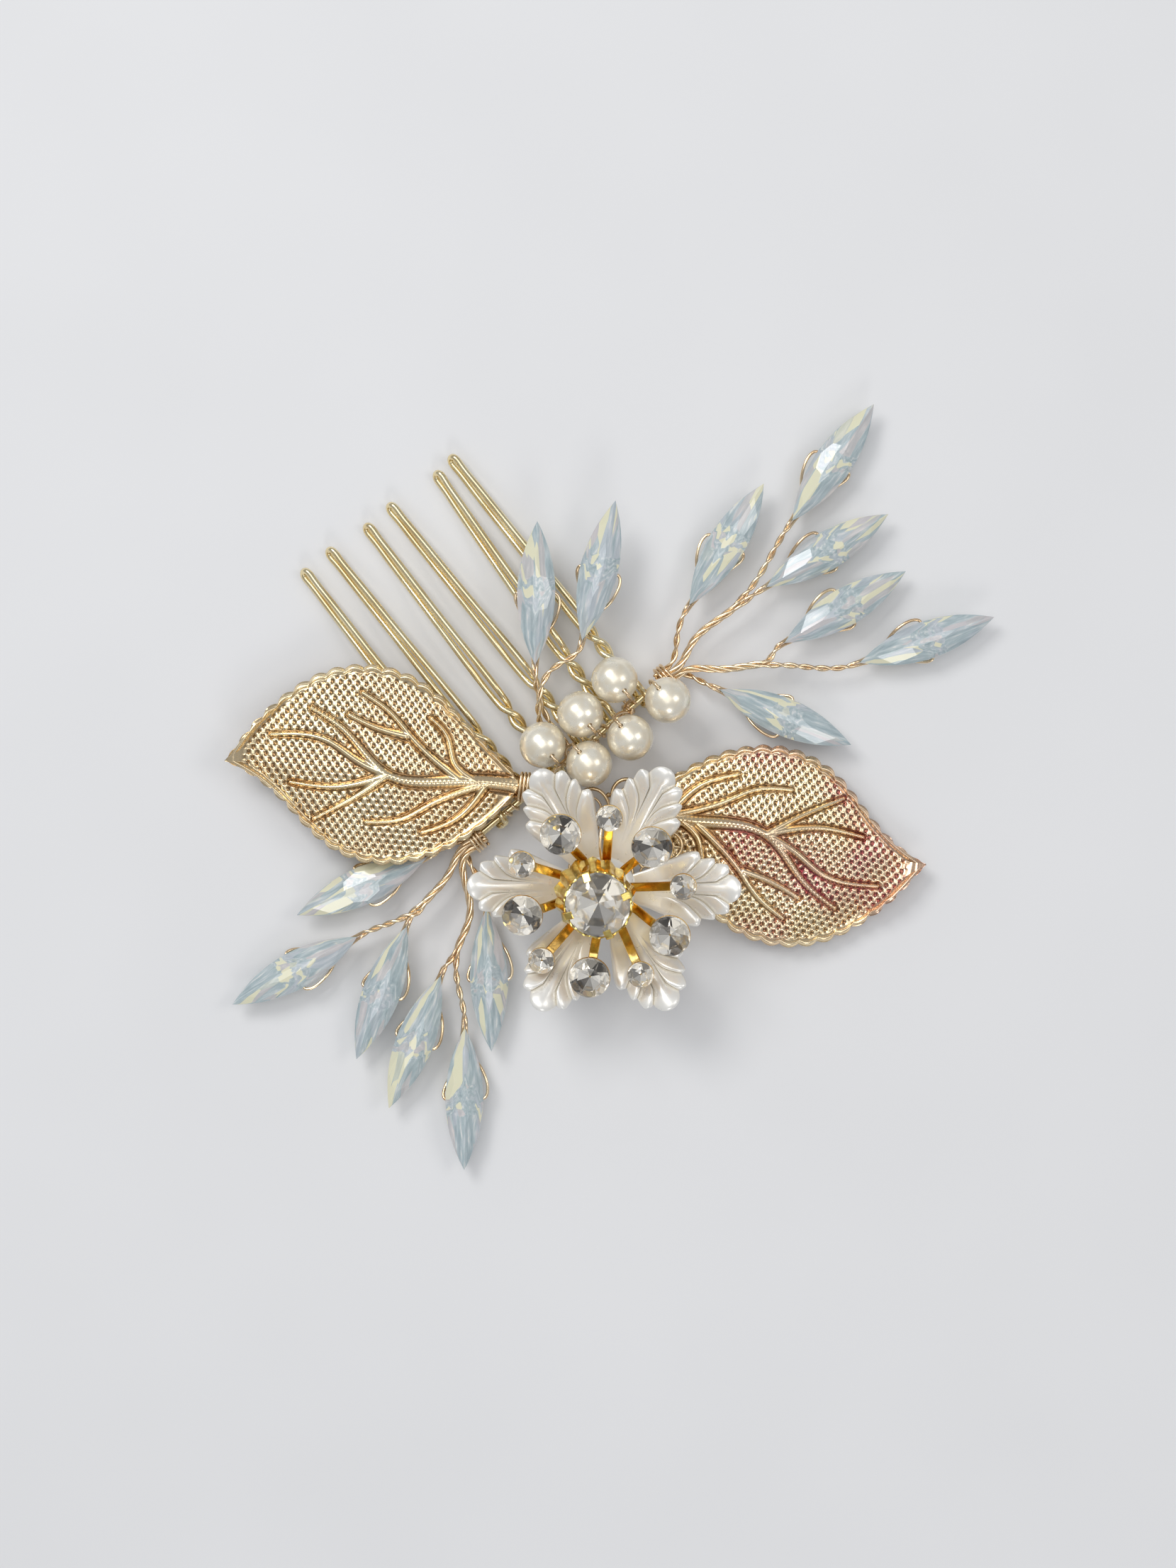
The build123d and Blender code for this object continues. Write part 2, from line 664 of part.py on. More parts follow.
def make_leaf():
    """A stamped leaf lying along +X from its neck, rib and veins raised."""
    sheet = leaf_sheet(-leaf_thickness / 2, leaf_thickness / 2)
    relief = leaf_sheet(leaf_thickness / 2 - 0.1, leaf_thickness / 2 + leaf_relief)
    tall = 12.0
    parts = []
    for side in (1, -1):
        tilt = Rot(-side * leaf_camber, 0, 0)
        plan = half_outline(side, 0)
        prism = Pos(0, 0, -tall / 2) * extrude(plan, tall)
        inner = Pos(0, 0, -tall / 2) * extrude(half_outline(side, leaf_rim), tall)
        parts.append((tilt * sheet) & prism)
        bands = (tilt * relief) & (prism - inner)
        parts.append(bands)
        for way in vein_ways:
            if side * sum(out for _, out in way) > -1e-9 or way is vein_ways[0]:
                band = Pos(0, 0, -tall / 2) * extrude(vein_band(way, side), tall)
                parts.append((tilt * relief) & (band & prism))
    leaf = parts[0]
    for part in parts[1:]:
        leaf = leaf + part
    return leaf.solid()


leaf_places = {
    "leaf_left": (6.2, -1.3, 2.25, -45.0),
    "leaf_right": (-1.9, 8.9, 0.60, 129.4),
}


def place_leaf(leaf, name):
    x, y, z, heading = leaf_places[name]
    return Pos(x, y, z) * Rot(0, 0, heading) * leaf


def make_leaf_wrap(name, start):
    """Thin wire wound round the leaf's neck."""
    half = leaf_neck / 2 + craft_wire / 2 + wire_gap
    above = leaf_thickness / 2 + leaf_relief + craft_wire / 2 + wire_gap
    fall = leaf_neck / 2 * math.tan(math.radians(leaf_camber))
    below = leaf_thickness / 2 + fall + craft_wire / 2 + wire_gap
    shape = ((half, -below), (half, above * 0.75), (half * 0.55, above), (-half * 0.55, above),
             (-half, above * 0.75), (-half, -below))
    turns = 3
    x, y, z, heading = leaf_places[name]
    frame = Pos(x, y, z) * Rot(0, 0, heading)
    points = []
    total = turns * len(shape)
    for step in range(total + 1):
        across, up = shape[step % len(shape)]
        along = start - (craft_wire + 0.08) * step / len(shape)
        points.append((frame * Pos(along, across, up)).position)
    return wire_solid(points, craft_wire)


# ================================================================ flower
petal_step = 360 / petal_count


def petal_height(reach):
    """Underside of the petals at a distance from the flower's axis."""
    return petal_floor + petal_rise * (reach / petal_radius) ** 1.6


def sheet_solid(top, bottom):
    """A solid between two matching grids of points, all in flat triangles."""
    def triangles(a, b, c, d):
        return [Face(Wire.make_polygon([a, b, c], close=True)),
                Face(Wire.make_polygon([a, c, d], close=True))]

    rows = len(top)
    columns = len(top[0])
    faces = []
    for grid in (top, bottom):
        for row in range(rows - 1):
            for column in range(columns - 1):
                faces += triangles(grid[row][column], grid[row][column + 1],
                                   grid[row + 1][column + 1], grid[row + 1][column])
    for row in range(rows - 1):
        for column in (0, -1):
            faces += triangles(top[row][column], top[row + 1][column],
                               bottom[row + 1][column], bottom[row][column])
    for column in range(columns - 1):
        for row in (0, -1):
            faces += triangles(top[row][column], top[row][column + 1],
                               bottom[row][column + 1], bottom[row][column])
    shell = Shell(faces)
    solid = Solid(shell)
    return solid if solid.volume > 0 else Solid(Shell([-face for face in faces]))


def make_petal(turn):
    """A fan of fused ribs: a lobed sheet whose ribs curve outwards from the hub."""
    inner = petal_hub_radius - 1.2
    top = []
    bottom = []
    for share, thick, bunch in ((0.0, 0.2, 2.0), (0.52, 1.0, 1.4), (1.0, 0.62, 1.0)):
        upper = []
        lower = []
        for column in range(2 * petal_lobes + 1):
            across = column / petal_lobes - 1
            valley = column % 2 == 0
            end = petal_tip - petal_fall * abs(across) ** 1.6 - (lobe_notch if valley else 0)
            reach = inner + (end - inner) * share
            opening = petal_open + (petal_hub_open - petal_open) * max(0, 1 - share / 0.4)
            angle = turn + math.copysign(opening * abs(across) ** bunch, across)
            level = petal_height(reach)
            rise = (petal_sheet + petal_rib * (0.25 if valley else 1.0)) * thick
            lower.append(polar(reach, angle, level))
            upper.append(polar(reach, angle, level + max(rise, 0.25)))
        top.append(upper)
        bottom.append(lower)
    return sheet_solid(top, bottom)


def make_petals():
    """Six shell-shaped petals of fused ribs on one hub, with a leaning seat on top."""
    hub_height = hub_top() - petal_floor
    hub = Pos(0, 0, petal_floor) * extrude(RegularPolygon(petal_hub_radius, 24), hub_height)
    seat = stamen_frame() * Pos(0, 0, -stamen_post / 2 - 0.5) * Cylinder(1.5, stamen_post + 1.0)
    flower = hub + Pos(-flower_x, -flower_y, 0) * seat
    petal = make_petal(0)
    for index in range(petal_count):
        flower = flower + Rot(0, 0, flower_turn + petal_step * index) * petal
    return Pos(flower_x, flower_y, 0) * flower


def hub_top():
    return petal_height(petal_hub_radius) + petal_sheet + petal_rib - 0.05


def make_rosette():
    """Openwork stamped rosette under the petals: a disc with pierced loops."""
    count = 7
    disc = RegularPolygon(2.9, 12)
    face = disc
    for index in range(rosette_loops):
        turn = 360 / rosette_loops * index + rosette_turn
        middle = (2.2 + rosette_radius) / 2
        outer = []
        inner = []
        for step in range(count):
            angle = 2 * math.pi * step / count
            outer.append(polar(1, 0) * (middle + (rosette_radius - 2.2) / 2 * math.cos(angle))
                         + Vector(0, 1.7 * math.sin(angle)))
            inner.append(polar(1, 0) * (middle + (rosette_radius - 4.2) / 2 * math.cos(angle))
                         + Vector(0, 0.95 * math.sin(angle)))
        loop = make_face(Polyline(*outer, close=True)) - make_face(Polyline(*inner, close=True))
        face = face + Rot(0, 0, turn) * loop
    face = face - RegularPolygon(0.7, 8)
    top = petal_floor - rosette_gap
    return Pos(rosette_x, rosette_y, top - rosette_thickness) * extrude(face, rosette_thickness)


# ================================================================ stamen
def stamen_frame():
    """Frame on the leaning seat: the stamen disc lies on its XY plane."""
    return (Pos(flower_x, flower_y, hub_top()) * Rot(0, 0, stamen_lean_heading)
            * Rot(0, stamen_lean, 0) * Rot(0, 0, -stamen_lean_heading) * Pos(0, 0, stamen_post))


def flat_cone(outline, sides):
    """A flat-sided turned shape through (radius, height) pairs."""
    rings = [[polar(radius / math.cos(math.pi / sides), 360 * (side + 0.5) / sides, height)
              for side in range(sides)] for radius, height in outline]
    return faceted(rings, flat_sides=True)


def make_cup(diameter, girdle, height, base, sides):
    """A thin cup: tapered below, upright round the girdle that it holds."""
    seat = diameter / 2 + seat_clearance
    knee = height - girdle - seat_clearance
    outer = flat_cone(((base, 0), (seat + cup_wall, knee), (seat + cup_wall, height)), sides)
    inner = flat_cone(((base - cup_wall * 0.6, cup_wall), (seat, knee), (seat, height + 0.01)), sides)
    return outer - inner


def cup_height(index):
    cut = stone_for(index)
    return cut["pavilion"] + cut["girdle"] + cup_wall + 3 * seat_clearance


def make_stone(diameter, crown, girdle, pavilion, mains):
    """A round stone: table, crown mains, girdle and pavilion mains, culet down."""
    radius = diameter / 2
    blank = extrude(RegularPolygon(radius, 2 * mains), crown + girdle + pavilion)
    blank = Pos(0, 0, -pavilion) * blank
    reach = radius * math.cos(math.pi / (2 * mains))
    for index in range(mains):
        azimuth = 360 / mains * (index + 0.25)
        blank = cut_facet(blank, azimuth, crown_slope, reach, girdle)
        blank = cut_facet(blank, azimuth, 180 - pavilion_slope, reach, 0)
    return blank.solid()


def ring_place(index):
    """Place of a stamen cup in the stamen frame: large and small in turn."""
    large = index % 2 == 0
    reach = large_ring if large else small_ring
    return reach, stamen_turn + 360 / stamen_arm_count * index, large


def stone_for(index):
    return large_cut if index % 2 == 0 else small_cut


def make_stamen():
    """Disc, bent flat arms, a cup on each arm and the serrated centre cup."""
    disc = extrude(RegularPolygon(2.1, 20), stamen_sheet)
    body = disc
    for index in range(stamen_arm_count):
        reach, turn, large = ring_place(index)
        diameter = stone_for(index)["diameter"]
        under = ring_height - stamen_sheet
        spots = ((1.2, 0.0), (2.4, 0.25), (3.9, 1.25), (reach - diameter * 0.5, under - 0.25),
                 (reach - diameter * 0.2, under), (reach + diameter * 0.22, under))
        top = [(along, height + stamen_sheet) for along, height in spots]
        profile = Plane.XZ * make_face(Polyline(*(list(spots) + top[::-1]), close=True))
        arm = extrude(profile, stamen_arm_width / 2, both=True)
        cup = Pos(reach, 0, ring_height) * make_cup(
            diameter, stone_for(index)["girdle"], cup_height(index), diameter * 0.27, cup_sides)
        body = body + Rot(0, 0, turn) * arm + Rot(0, 0, turn) * cup
    body = body + make_centre_cup()
    return stamen_frame() * body


def leaning_cone(outline, sides):
    """A flat-sided turned shape whose second ring is pushed to one side."""
    rings = []
    for index, (radius, height) in enumerate(outline):
        shift = polar(belly_shift if index == 1 else 0, belly_heading)
        rings.append([polar(radius / math.cos(math.pi / sides), 360 * (side + 0.5) / sides, height) + shift
                      for side in range(sides)])
    return faceted(rings, flat_sides=True)


def make_centre_cup():
    """Tall cup with a serrated rim and four claws over the centre stone's crown."""
    sides = centre_cup_sides
    girdle = centre_cut["girdle"]
    seat = centre_cut["diameter"] / 2 + seat_clearance
    rim = seat + cup_wall
    top = centre_height + girdle + seat_clearance
    knee = centre_height - girdle
    low = stamen_sheet / 2
    belly = belly_radius - cup_wall
    outer = leaning_cone(((1.6, low), (belly_radius, belly_height), (rim, knee), (rim, top)), sides)
    inner = leaning_cone(((1.4, low + cup_wall), (belly, belly_height), (seat, knee),
                          (seat, top + 0.01)), sides)
    cup = outer - inner
    for index in range(sides):
        turn = 360 * index / sides
        notch = Pos(seat, 0, top) * Rot(45, 0, 0) * Box(1.0, girdle, girdle)
        cup = cup - Rot(0, 0, turn) * notch
    crown_rise = math.tan(math.radians(crown_slope))
    reach = 0.75
    for index in range(4):
        turn = claw_turn + 90 * index
        spots = ((rim - 0.06, top - 1.3), (rim + 0.30, top - 0.5), (rim + 0.30, top + 0.30),
                 (seat - reach, top + 0.32 + reach * crown_rise),
                 (seat - reach, top + 0.08 + reach * crown_rise), (seat, top + 0.05),
                 (rim - 0.06, top - 0.1))
        claw = extrude(Plane.XZ * make_face(Polyline(*spots, close=True)), 0.35, both=True)
        cup = cup + Rot(0, 0, turn) * claw
    return cup


def ring_stone_frame(index):
    reach, turn, large = ring_place(index)
    lift = ring_height + cup_height(index) - stone_for(index)["girdle"]
    return stamen_frame() * Rot(0, 0, turn) * Pos(reach, 0, lift)


def make_tie_wire():
    """Short bowed wire that comes up between two petals and goes in under the stamen."""
    points = [Vector(0.55, 6.30, 2.68), Vector(1.1, 6.9, 3.6), Vector(2.3, 7.8, 4.45),
              Vector(3.7, 9.2, 4.7), Vector(4.4, 10.3, 4.3)]
    return wire_solid(points, craft_wire)


# ================================================================ build
save("comb_spine", make_spine())
for tooth in range(tooth_count):
    save("comb_tooth_%d" % (tooth + 1), make_tooth(tooth))
save("spine_binding_wire", make_binding())
save("stem_binding_wire", Compound(children=[make_collar(-1), make_collar(1)]))

for pearl in range(len(pearl_places)):
    save("pearl_%d" % (pearl + 1), make_pearl(pearl))
    save("pearl_wire_%d" % (pearl + 1), make_pearl_wire(pearl))

drop = make_opal()
for name in opals:
    save(name, opal_frame(name) * drop)
for name, plan in single_stems.items():
    save(name, make_single_stem(plan))
for name, plan in shared_stems.items():
    save(name, make_shared_stem(plan))

stamped_leaf = make_leaf()
for name in leaf_places:
    save(name, place_leaf(stamped_leaf, name))
save("leaf_binding_wire", Compound(children=[make_leaf_wrap(name, -0.2) for name in leaf_places]))

save("backing_rosette", make_rosette())
save("flower_petals", make_petals())
save("stamen_frame", make_stamen())
save("flower_tie_wire", make_tie_wire())
save("centre_crystal", stamen_frame() * Pos(0, 0, centre_height) * make_stone(**centre_cut))
large_crystal = make_stone(**large_cut)
small_crystal = make_stone(**small_cut)
for cup in range(0, stamen_arm_count, 2):
    save("large_crystal_%d" % (cup // 2 + 1), ring_stone_frame(cup) * large_crystal)
small_crystals = [ring_stone_frame(cup) * small_crystal for cup in range(1, stamen_arm_count, 2)]
save("small_crystals", Compound(children=small_crystals))
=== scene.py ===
import json
import math

import bmesh
import bpy
import numpy as np
from mathutils import Matrix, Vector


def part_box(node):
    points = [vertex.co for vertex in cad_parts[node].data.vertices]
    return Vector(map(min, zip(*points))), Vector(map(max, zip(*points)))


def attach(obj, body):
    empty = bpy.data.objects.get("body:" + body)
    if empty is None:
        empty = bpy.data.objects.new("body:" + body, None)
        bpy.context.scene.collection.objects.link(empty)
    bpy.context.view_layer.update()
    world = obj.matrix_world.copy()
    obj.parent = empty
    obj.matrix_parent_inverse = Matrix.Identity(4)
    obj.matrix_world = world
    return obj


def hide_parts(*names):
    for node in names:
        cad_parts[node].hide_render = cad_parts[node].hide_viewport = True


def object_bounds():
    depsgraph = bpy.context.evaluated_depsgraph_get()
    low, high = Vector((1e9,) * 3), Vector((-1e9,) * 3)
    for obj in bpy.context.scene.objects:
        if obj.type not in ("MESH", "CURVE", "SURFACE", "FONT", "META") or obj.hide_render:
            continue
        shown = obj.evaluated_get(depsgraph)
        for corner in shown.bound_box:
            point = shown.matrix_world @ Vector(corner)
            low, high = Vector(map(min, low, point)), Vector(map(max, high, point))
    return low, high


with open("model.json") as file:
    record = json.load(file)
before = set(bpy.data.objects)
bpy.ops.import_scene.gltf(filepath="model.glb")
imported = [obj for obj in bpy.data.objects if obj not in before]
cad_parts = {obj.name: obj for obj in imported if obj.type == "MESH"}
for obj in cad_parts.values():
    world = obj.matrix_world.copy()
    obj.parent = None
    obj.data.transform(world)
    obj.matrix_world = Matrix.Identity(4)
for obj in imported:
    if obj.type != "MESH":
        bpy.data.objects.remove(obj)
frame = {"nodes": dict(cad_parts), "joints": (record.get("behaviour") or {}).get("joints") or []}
cadLow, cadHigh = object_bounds()
mm = 0.001
nearAxis = 0.02  # a turned outline starts and ends this far from its axis, under a small cap
print("frame loaded:", len(frame["nodes"]), "nodes")


# small helpers, all on whole arrays; a shape is its points and its faces

def unitRows(rows):  # each row over its own length
    return rows / np.linalg.norm(rows, axis=-1, keepdims=True)


def ease(low, high, x):  # 0 below low, 1 above high, a smooth 3t^2 - 2t^3 between
    t = np.clip((x - low) / (high - low), 0, 1)
    return t * t * (3 - 2 * t)


def evenTurns(sides):  # that many angles evenly round a circle
    return np.arange(sides) * 2 * math.pi / sides


def turning(axis, degrees):  # rotation matrix about y or z
    c, s = math.cos(math.radians(degrees)), math.sin(math.radians(degrees))
    i, j = {"y": (2, 0), "z": (0, 1)}[axis]
    m = np.eye(3)
    m[i, i], m[i, j], m[j, i], m[j, j] = c, -s, s, c
    return m


def placed(points, origin, matrix):  # local points turned by a matrix, then moved
    return np.asarray(points, float) @ matrix.T + origin


def moved(shape, origin=(0, 0, 0), matrix=np.eye(3)):  # the same for a whole shape
    return placed(shape[0], origin, matrix), *shape[1:]


def spun(shape, degrees):  # a whole shape turned about z
    return moved(shape, matrix=turning("z", degrees))


def curveThrough(points, count, startWay=None, endWay=None):
    # natural or clamped cubic spline through the points, resampled to even arc length
    p = np.asarray(points, float)
    gaps = np.linalg.norm(np.diff(p, axis=0), axis=1)
    s = np.concatenate([[0], np.cumsum(gaps)])
    n = len(p)
    slope = np.diff(p, axis=0) / gaps[:, None]
    a, b = np.zeros((n, n)), np.zeros_like(p)
    inner = np.arange(1, n - 1)
    a[inner, inner - 1], a[inner, inner + 1] = gaps[:-1], gaps[1:]
    a[inner, inner] = 2 * (gaps[:-1] + gaps[1:])
    b[inner] = 6 * np.diff(slope, axis=0)
    a[0, 0] = a[-1, -1] = 1
    if startWay is not None:
        a[0, 0], a[0, 1], b[0] = 2 * gaps[0], gaps[0], 6 * (slope[0] - np.asarray(startWay))
    if endWay is not None:
        a[-1, -1], a[-1, -2], b[-1] = 2 * gaps[-1], gaps[-1], 6 * (np.asarray(endWay) - slope[-1])
    bend = np.linalg.solve(a, b)
    t = np.linspace(0, s[-1], count * 4)
    k = np.clip(np.searchsorted(s, t, side="right") - 1, 0, n - 2)
    h = gaps[k][:, None]
    left, right = (s[k + 1] - t)[:, None], (t - s[k])[:, None]
    fine = (bend[k] * left ** 3 + bend[k + 1] * right ** 3) / (6 * h)
    fine += (p[k] / h - bend[k] * h / 6) * left + (p[k + 1] / h - bend[k + 1] * h / 6) * right
    return evenly(fine, count)


def evenly(path, count):  # the same path with points at even arc length
    s = np.concatenate([[0], np.cumsum(np.linalg.norm(np.diff(path, axis=0), axis=1))])
    at = np.linspace(0, s[-1], count)
    return np.stack([np.interp(at, s, path[:, i]) for i in range(path.shape[1])], axis=1)


def pathLength(path):  # the sum of the steps
    return float(np.linalg.norm(np.diff(path, axis=0), axis=1).sum())


def headings(path):  # unit tangent at each point
    return unitRows(np.gradient(path, axis=0))


def halfSphere(count):  # that many directions evenly over the upper half, on a golden spiral
    i = np.arange(count) + 0.5
    z = i / count
    turn = math.pi * (1 + 5 ** 0.5) * i
    r = np.sqrt(1 - z * z)
    return np.stack([r * np.cos(turn), r * np.sin(turn), z], axis=1)


def gridFaces(rows, columns, closeRows=False, closeColumns=False):
    # quads of a grid of points numbered row by row
    i = np.arange(rows if closeRows else rows - 1)[:, None]
    j = np.arange(columns if closeColumns else columns - 1)[None, :]
    a, b = i * columns + j, i * columns + (j + 1) % columns
    up = (i + 1) % rows * columns
    return np.stack([a, b, up + (j + 1) % columns, up + j], axis=-1).reshape(-1, 4)


def closedGrid(points, rows, columns):  # a wall that meets itself both ways
    return points, gridFaces(rows, columns, True, True).tolist()


def capped(points, sides):  # rows of so many points joined to a wall, with a face over each end
    last = len(points) - sides
    wall = gridFaces(len(points) // sides, sides, closeColumns=True).tolist()
    return points, wall + [list(range(sides))[::-1], list(range(last, last + sides))]


def circled(path, side, over, radius, sides):  # a circle round each point, in its two directions
    turn = evenTurns(sides)[None, :, None]
    ring = np.cos(turn) * side[:, None, :] + np.sin(turn) * over[:, None, :]
    return (path[:, None, :] + ring * np.reshape(radius, (-1, 1, 1))).reshape(-1, 3)


def tube(path, radius, sides=10):
    # circles along a path, with domed and closed ends; they are levelled by whichever of many
    # directions comes least along the path, so that they never twist over
    path = np.asarray(path, float)
    ways = headings(path)
    tries = halfSphere(160)
    side = unitRows(np.cross(tries[np.argmin(np.abs(ways @ tries.T).max(axis=0))], ways))
    over = np.cross(ways, side)
    dome = np.radians((88, 60, 30))
    back, ahead = radius * np.sin(dome), radius * np.sin(dome[::-1])
    path = np.concatenate([path[0] - ways[0] * back[:, None], path, path[-1] + ways[-1] * ahead[:, None]])
    reach = np.pad(np.full(len(ways), radius), 3)
    reach[:3], reach[-3:] = radius * np.cos(dome), radius * np.cos(dome[::-1])
    side, over = (np.pad(way, ((3, 3), (0, 0)), "edge") for way in (side, over))
    return capped(circled(path, side, over, reach, sides), sides)


def ringTube(path, radius, sides=8):  # circles along a level path that closes on itself
    ways = unitRows(np.roll(path, -1, 0) - np.roll(path, 1, 0))
    side = unitRows(np.cross((0, 0, 1.0), ways))
    return closedGrid(circled(path, side, np.cross(ways, side), radius, sides), len(path), sides)


def carried(outline, sides):  # (radius, height) pairs carried round the z axis
    outline, turn = np.asarray(outline, float), evenTurns(sides)
    reach, height = outline[:, :1], outline[:, 1:]
    return np.stack([reach * np.cos(turn), reach * np.sin(turn), height + 0 * turn], -1).reshape(-1, 3)


def turned(outline, sides):  # the same as a solid, its first and last points at the axis
    return capped(carried(outline, sides), sides)


def prism(rim, low, high):  # one outline at two levels
    return capped(np.concatenate([np.c_[rim, np.full(len(rim), z)] for z in (low, high)]), len(rim))


def slab(top, bottom):  # two matching grids of points, joined all round their edges
    rows, columns = top.shape[:2]
    count = rows * columns
    grid = gridFaces(rows, columns)
    first = np.arange(count).reshape(rows, columns)
    rim = np.concatenate([first[0, :-1], first[:-1, -1], first[-1, :0:-1], first[:0:-1, 0]])
    onward = np.roll(rim, -1)
    sides = np.stack([rim, onward, onward + count, rim + count], axis=1)
    faces = np.concatenate([grid, grid[:, ::-1] + count, sides])
    return np.concatenate([top.reshape(-1, 3), bottom.reshape(-1, 3)]), faces.tolist()


def merged(shapes):  # several shapes as one
    points, faces, start = [], [], 0
    for p, f in shapes:
        points.append(np.asarray(p, float))
        faces += [[i + start for i in face] for face in f]
        start += len(p)
    return np.concatenate(points), faces


def linked(name, data):  # a new object in the scene
    made = bpy.data.objects.new(name, data)
    bpy.context.scene.collection.objects.link(made)
    return made


def addPiece(name, shape, material, body, nodes, smooth=180, attributes=None):
    # one mesh object at the origin, its place in its mesh, riding on a body; edges sharper than
    # the smooth angle stay sharp, and at 0 every face is flat
    points, faces = shape
    mesh = bpy.data.meshes.new(name)
    mesh.from_pydata((points * mm).tolist(), [], faces)
    mesh.validate()
    bm = bmesh.new()
    bm.from_mesh(mesh)
    bmesh.ops.recalc_face_normals(bm, faces=bm.faces)
    bm.to_mesh(mesh)
    bm.free()
    if smooth:
        mesh.polygons.foreach_set("use_smooth", [True] * len(mesh.polygons))
    if 0 < smooth < 180:
        mesh.set_sharp_from_angle(angle=math.radians(smooth))
    for key, values in (attributes or {}).items():
        layer = mesh.attributes.new(key, "FLOAT", "POINT")
        layer.data.foreach_set("value", np.asarray(values, np.float32))
    piece = linked(name, mesh)
    mesh.materials.append(material)
    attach(piece, body)
    if nodes:
        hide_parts(*nodes)
    return piece


def titled(kind, node):  # a piece's name from its node's: left_3 becomes stemLeft3 or the like
    return kind + node.replace("_", "").capitalize()


# shader maths

class Value:
    # one socket; operators add Math nodes
    def __init__(self, graph, socket):
        self.graph, self.socket = graph, socket

    def calc(self, operation, first, second):  # one Math node on two values or sockets
        return self.graph.node("ShaderNodeMath", {"operation": operation}, {0: first, 1: second})

    def __add__(self, other):
        return self.calc("ADD", self, other)

    def __radd__(self, other):
        return self.calc("ADD", other, self)

    def __sub__(self, other):
        return self.calc("SUBTRACT", self, other)

    def __rsub__(self, other):
        return self.calc("SUBTRACT", other, self)

    def __mul__(self, other):
        return self.calc("MULTIPLY", self, other)

    def __rmul__(self, other):
        return self.calc("MULTIPLY", other, self)

    def clipped(self):  # held between 0 and 1
        return self.graph.node("ShaderNodeClamp", {}, {0: self})


class Graph:
    # one material's nodes
    def __init__(self, name):
        self.material = bpy.data.materials.new(name)
        self.material.use_nodes = True
        self.tree = self.material.node_tree
        self.tree.nodes.clear()

    def node(self, kind, settings=None, inputs=None, out=0):
        # a node of any type: its settings first, then its sockets' values or links
        made = self.tree.nodes.new(kind)
        for key, value in (settings or {}).items():
            if key == "stops":
                ramp = made.color_ramp.elements
                while len(ramp) < len(value):
                    ramp.new(0.5)
                for stop, (at, colour) in zip(ramp, value):
                    stop.position, stop.color = at, (*colour, 1)
            else:
                setattr(made, key, value)
        for key, value in (inputs or {}).items():
            if isinstance(value, Value):
                self.tree.links.new(value.socket, made.inputs[key])
            else:
                made.inputs[key].default_value = value
        return Value(self, made.outputs[out]) if len(made.outputs) else None

    def blend(self, mask, first, second):  # colour first where mask is 0, second where it is 1
        pair = [one if isinstance(one, Value) else (*one, 1) for one in (first, second)]
        return self.node("ShaderNodeMix", {"data_type": "RGBA"}, {0: mask, 6: pair[0], 7: pair[1]}, 2)

    def noise(self, where, scale, detail, rough=0.5):  # lumps of 1 / scale over any coordinates
        return self.node("ShaderNodeTexNoise", {},
                         {"Vector": where, "Scale": scale, "Detail": detail, "Roughness": rough})

    def cloud(self, size, detail, rough=0.5):  # noise in the object's own space, its lumps in mm
        return self.noise(self.place(), 1 / (size * mm), detail, rough)

    def span(self, value, low, high, newLow=0.0, newHigh=1.0):  # one range laid onto another
        return self.node("ShaderNodeMapRange", {},
                         {0: value, 1: low, 2: high, 3: newLow, 4: newHigh})

    def place(self, out="Object"):  # coordinates of the object, or of its own map
        return self.node("ShaderNodeTexCoord", out=out)

    def painted(self, name):  # an attribute of the mesh
        return self.node("ShaderNodeAttribute", {"attribute_name": name}, out="Fac")

    def bump(self, height, strength, distance):  # the normal leaned by the slope of a height
        return self.node("ShaderNodeBump", {},
                         {"Height": height, "Strength": strength, "Distance": distance})

    def surface(self, inputs):  # the shader and the output, which close a material
        shader = self.node("ShaderNodeBsdfPrincipled", {}, inputs)
        self.node("ShaderNodeOutputMaterial", {}, {"Surface": shader})
        return self.material


def goldPlate(name, pale, deep, roughness, patch=3.5):
    # plated wire or sheet: the colour drifts from patch to patch, with fine drawing marks
    g = Graph(name)
    drift = g.cloud(patch, 2.0)
    fine = g.cloud(0.25, 4.0, 0.6)
    return g.surface({"Base Color": g.blend(g.span(drift, 0.35, 0.65), pale, deep), "Metallic": 1.0,
                      "Roughness": g.span(fine, 0.3, 0.7, roughness * 0.75, roughness * 1.35),
                      "Normal": g.bump(fine, 0.12, 0.03 * mm)})


toothGold = goldPlate("toothGold", pale=(0.96, 0.84, 0.54), deep=(0.88, 0.71, 0.40), roughness=0.18)
craftGold = goldPlate("craftGold", pale=(0.93, 0.76, 0.52), deep=(0.82, 0.59, 0.36), roughness=0.20)
stamenGold = goldPlate("stamenGold", pale=(0.88, 0.64, 0.24), deep=(0.64, 0.38, 0.10), roughness=0.16)
cupGold = goldPlate("cupGold", pale=(0.96, 0.78, 0.26), deep=(0.60, 0.36, 0.08), roughness=0.18, patch=1.0)


def pearlCoat():
    # ivory coat with a metallic lustre, cloudy patches and faint wrinkles
    g = Graph("pearlCoat")
    cloud = g.cloud(1.3, 3.0)
    speck = g.cloud(0.16, 3.0, 0.6)
    wrinkle = g.cloud(0.9, 2.0)
    colour = g.blend(g.span(cloud, 0.35, 0.65), (0.97, 0.92, 0.78), (0.88, 0.79, 0.61))
    return g.surface({"Base Color": colour, "Metallic": 0.45,
                      "Roughness": g.span(cloud, 0.3, 0.7, 0.24, 0.36),
                      "Specular IOR Level": 0.8,
                      "Coat Weight": 0.8, "Coat Roughness": 0.08, "Coat IOR": 1.6,
                      "Normal": g.bump(wrinkle * 0.8 + speck * 0.05, 0.25, 0.05 * mm)})


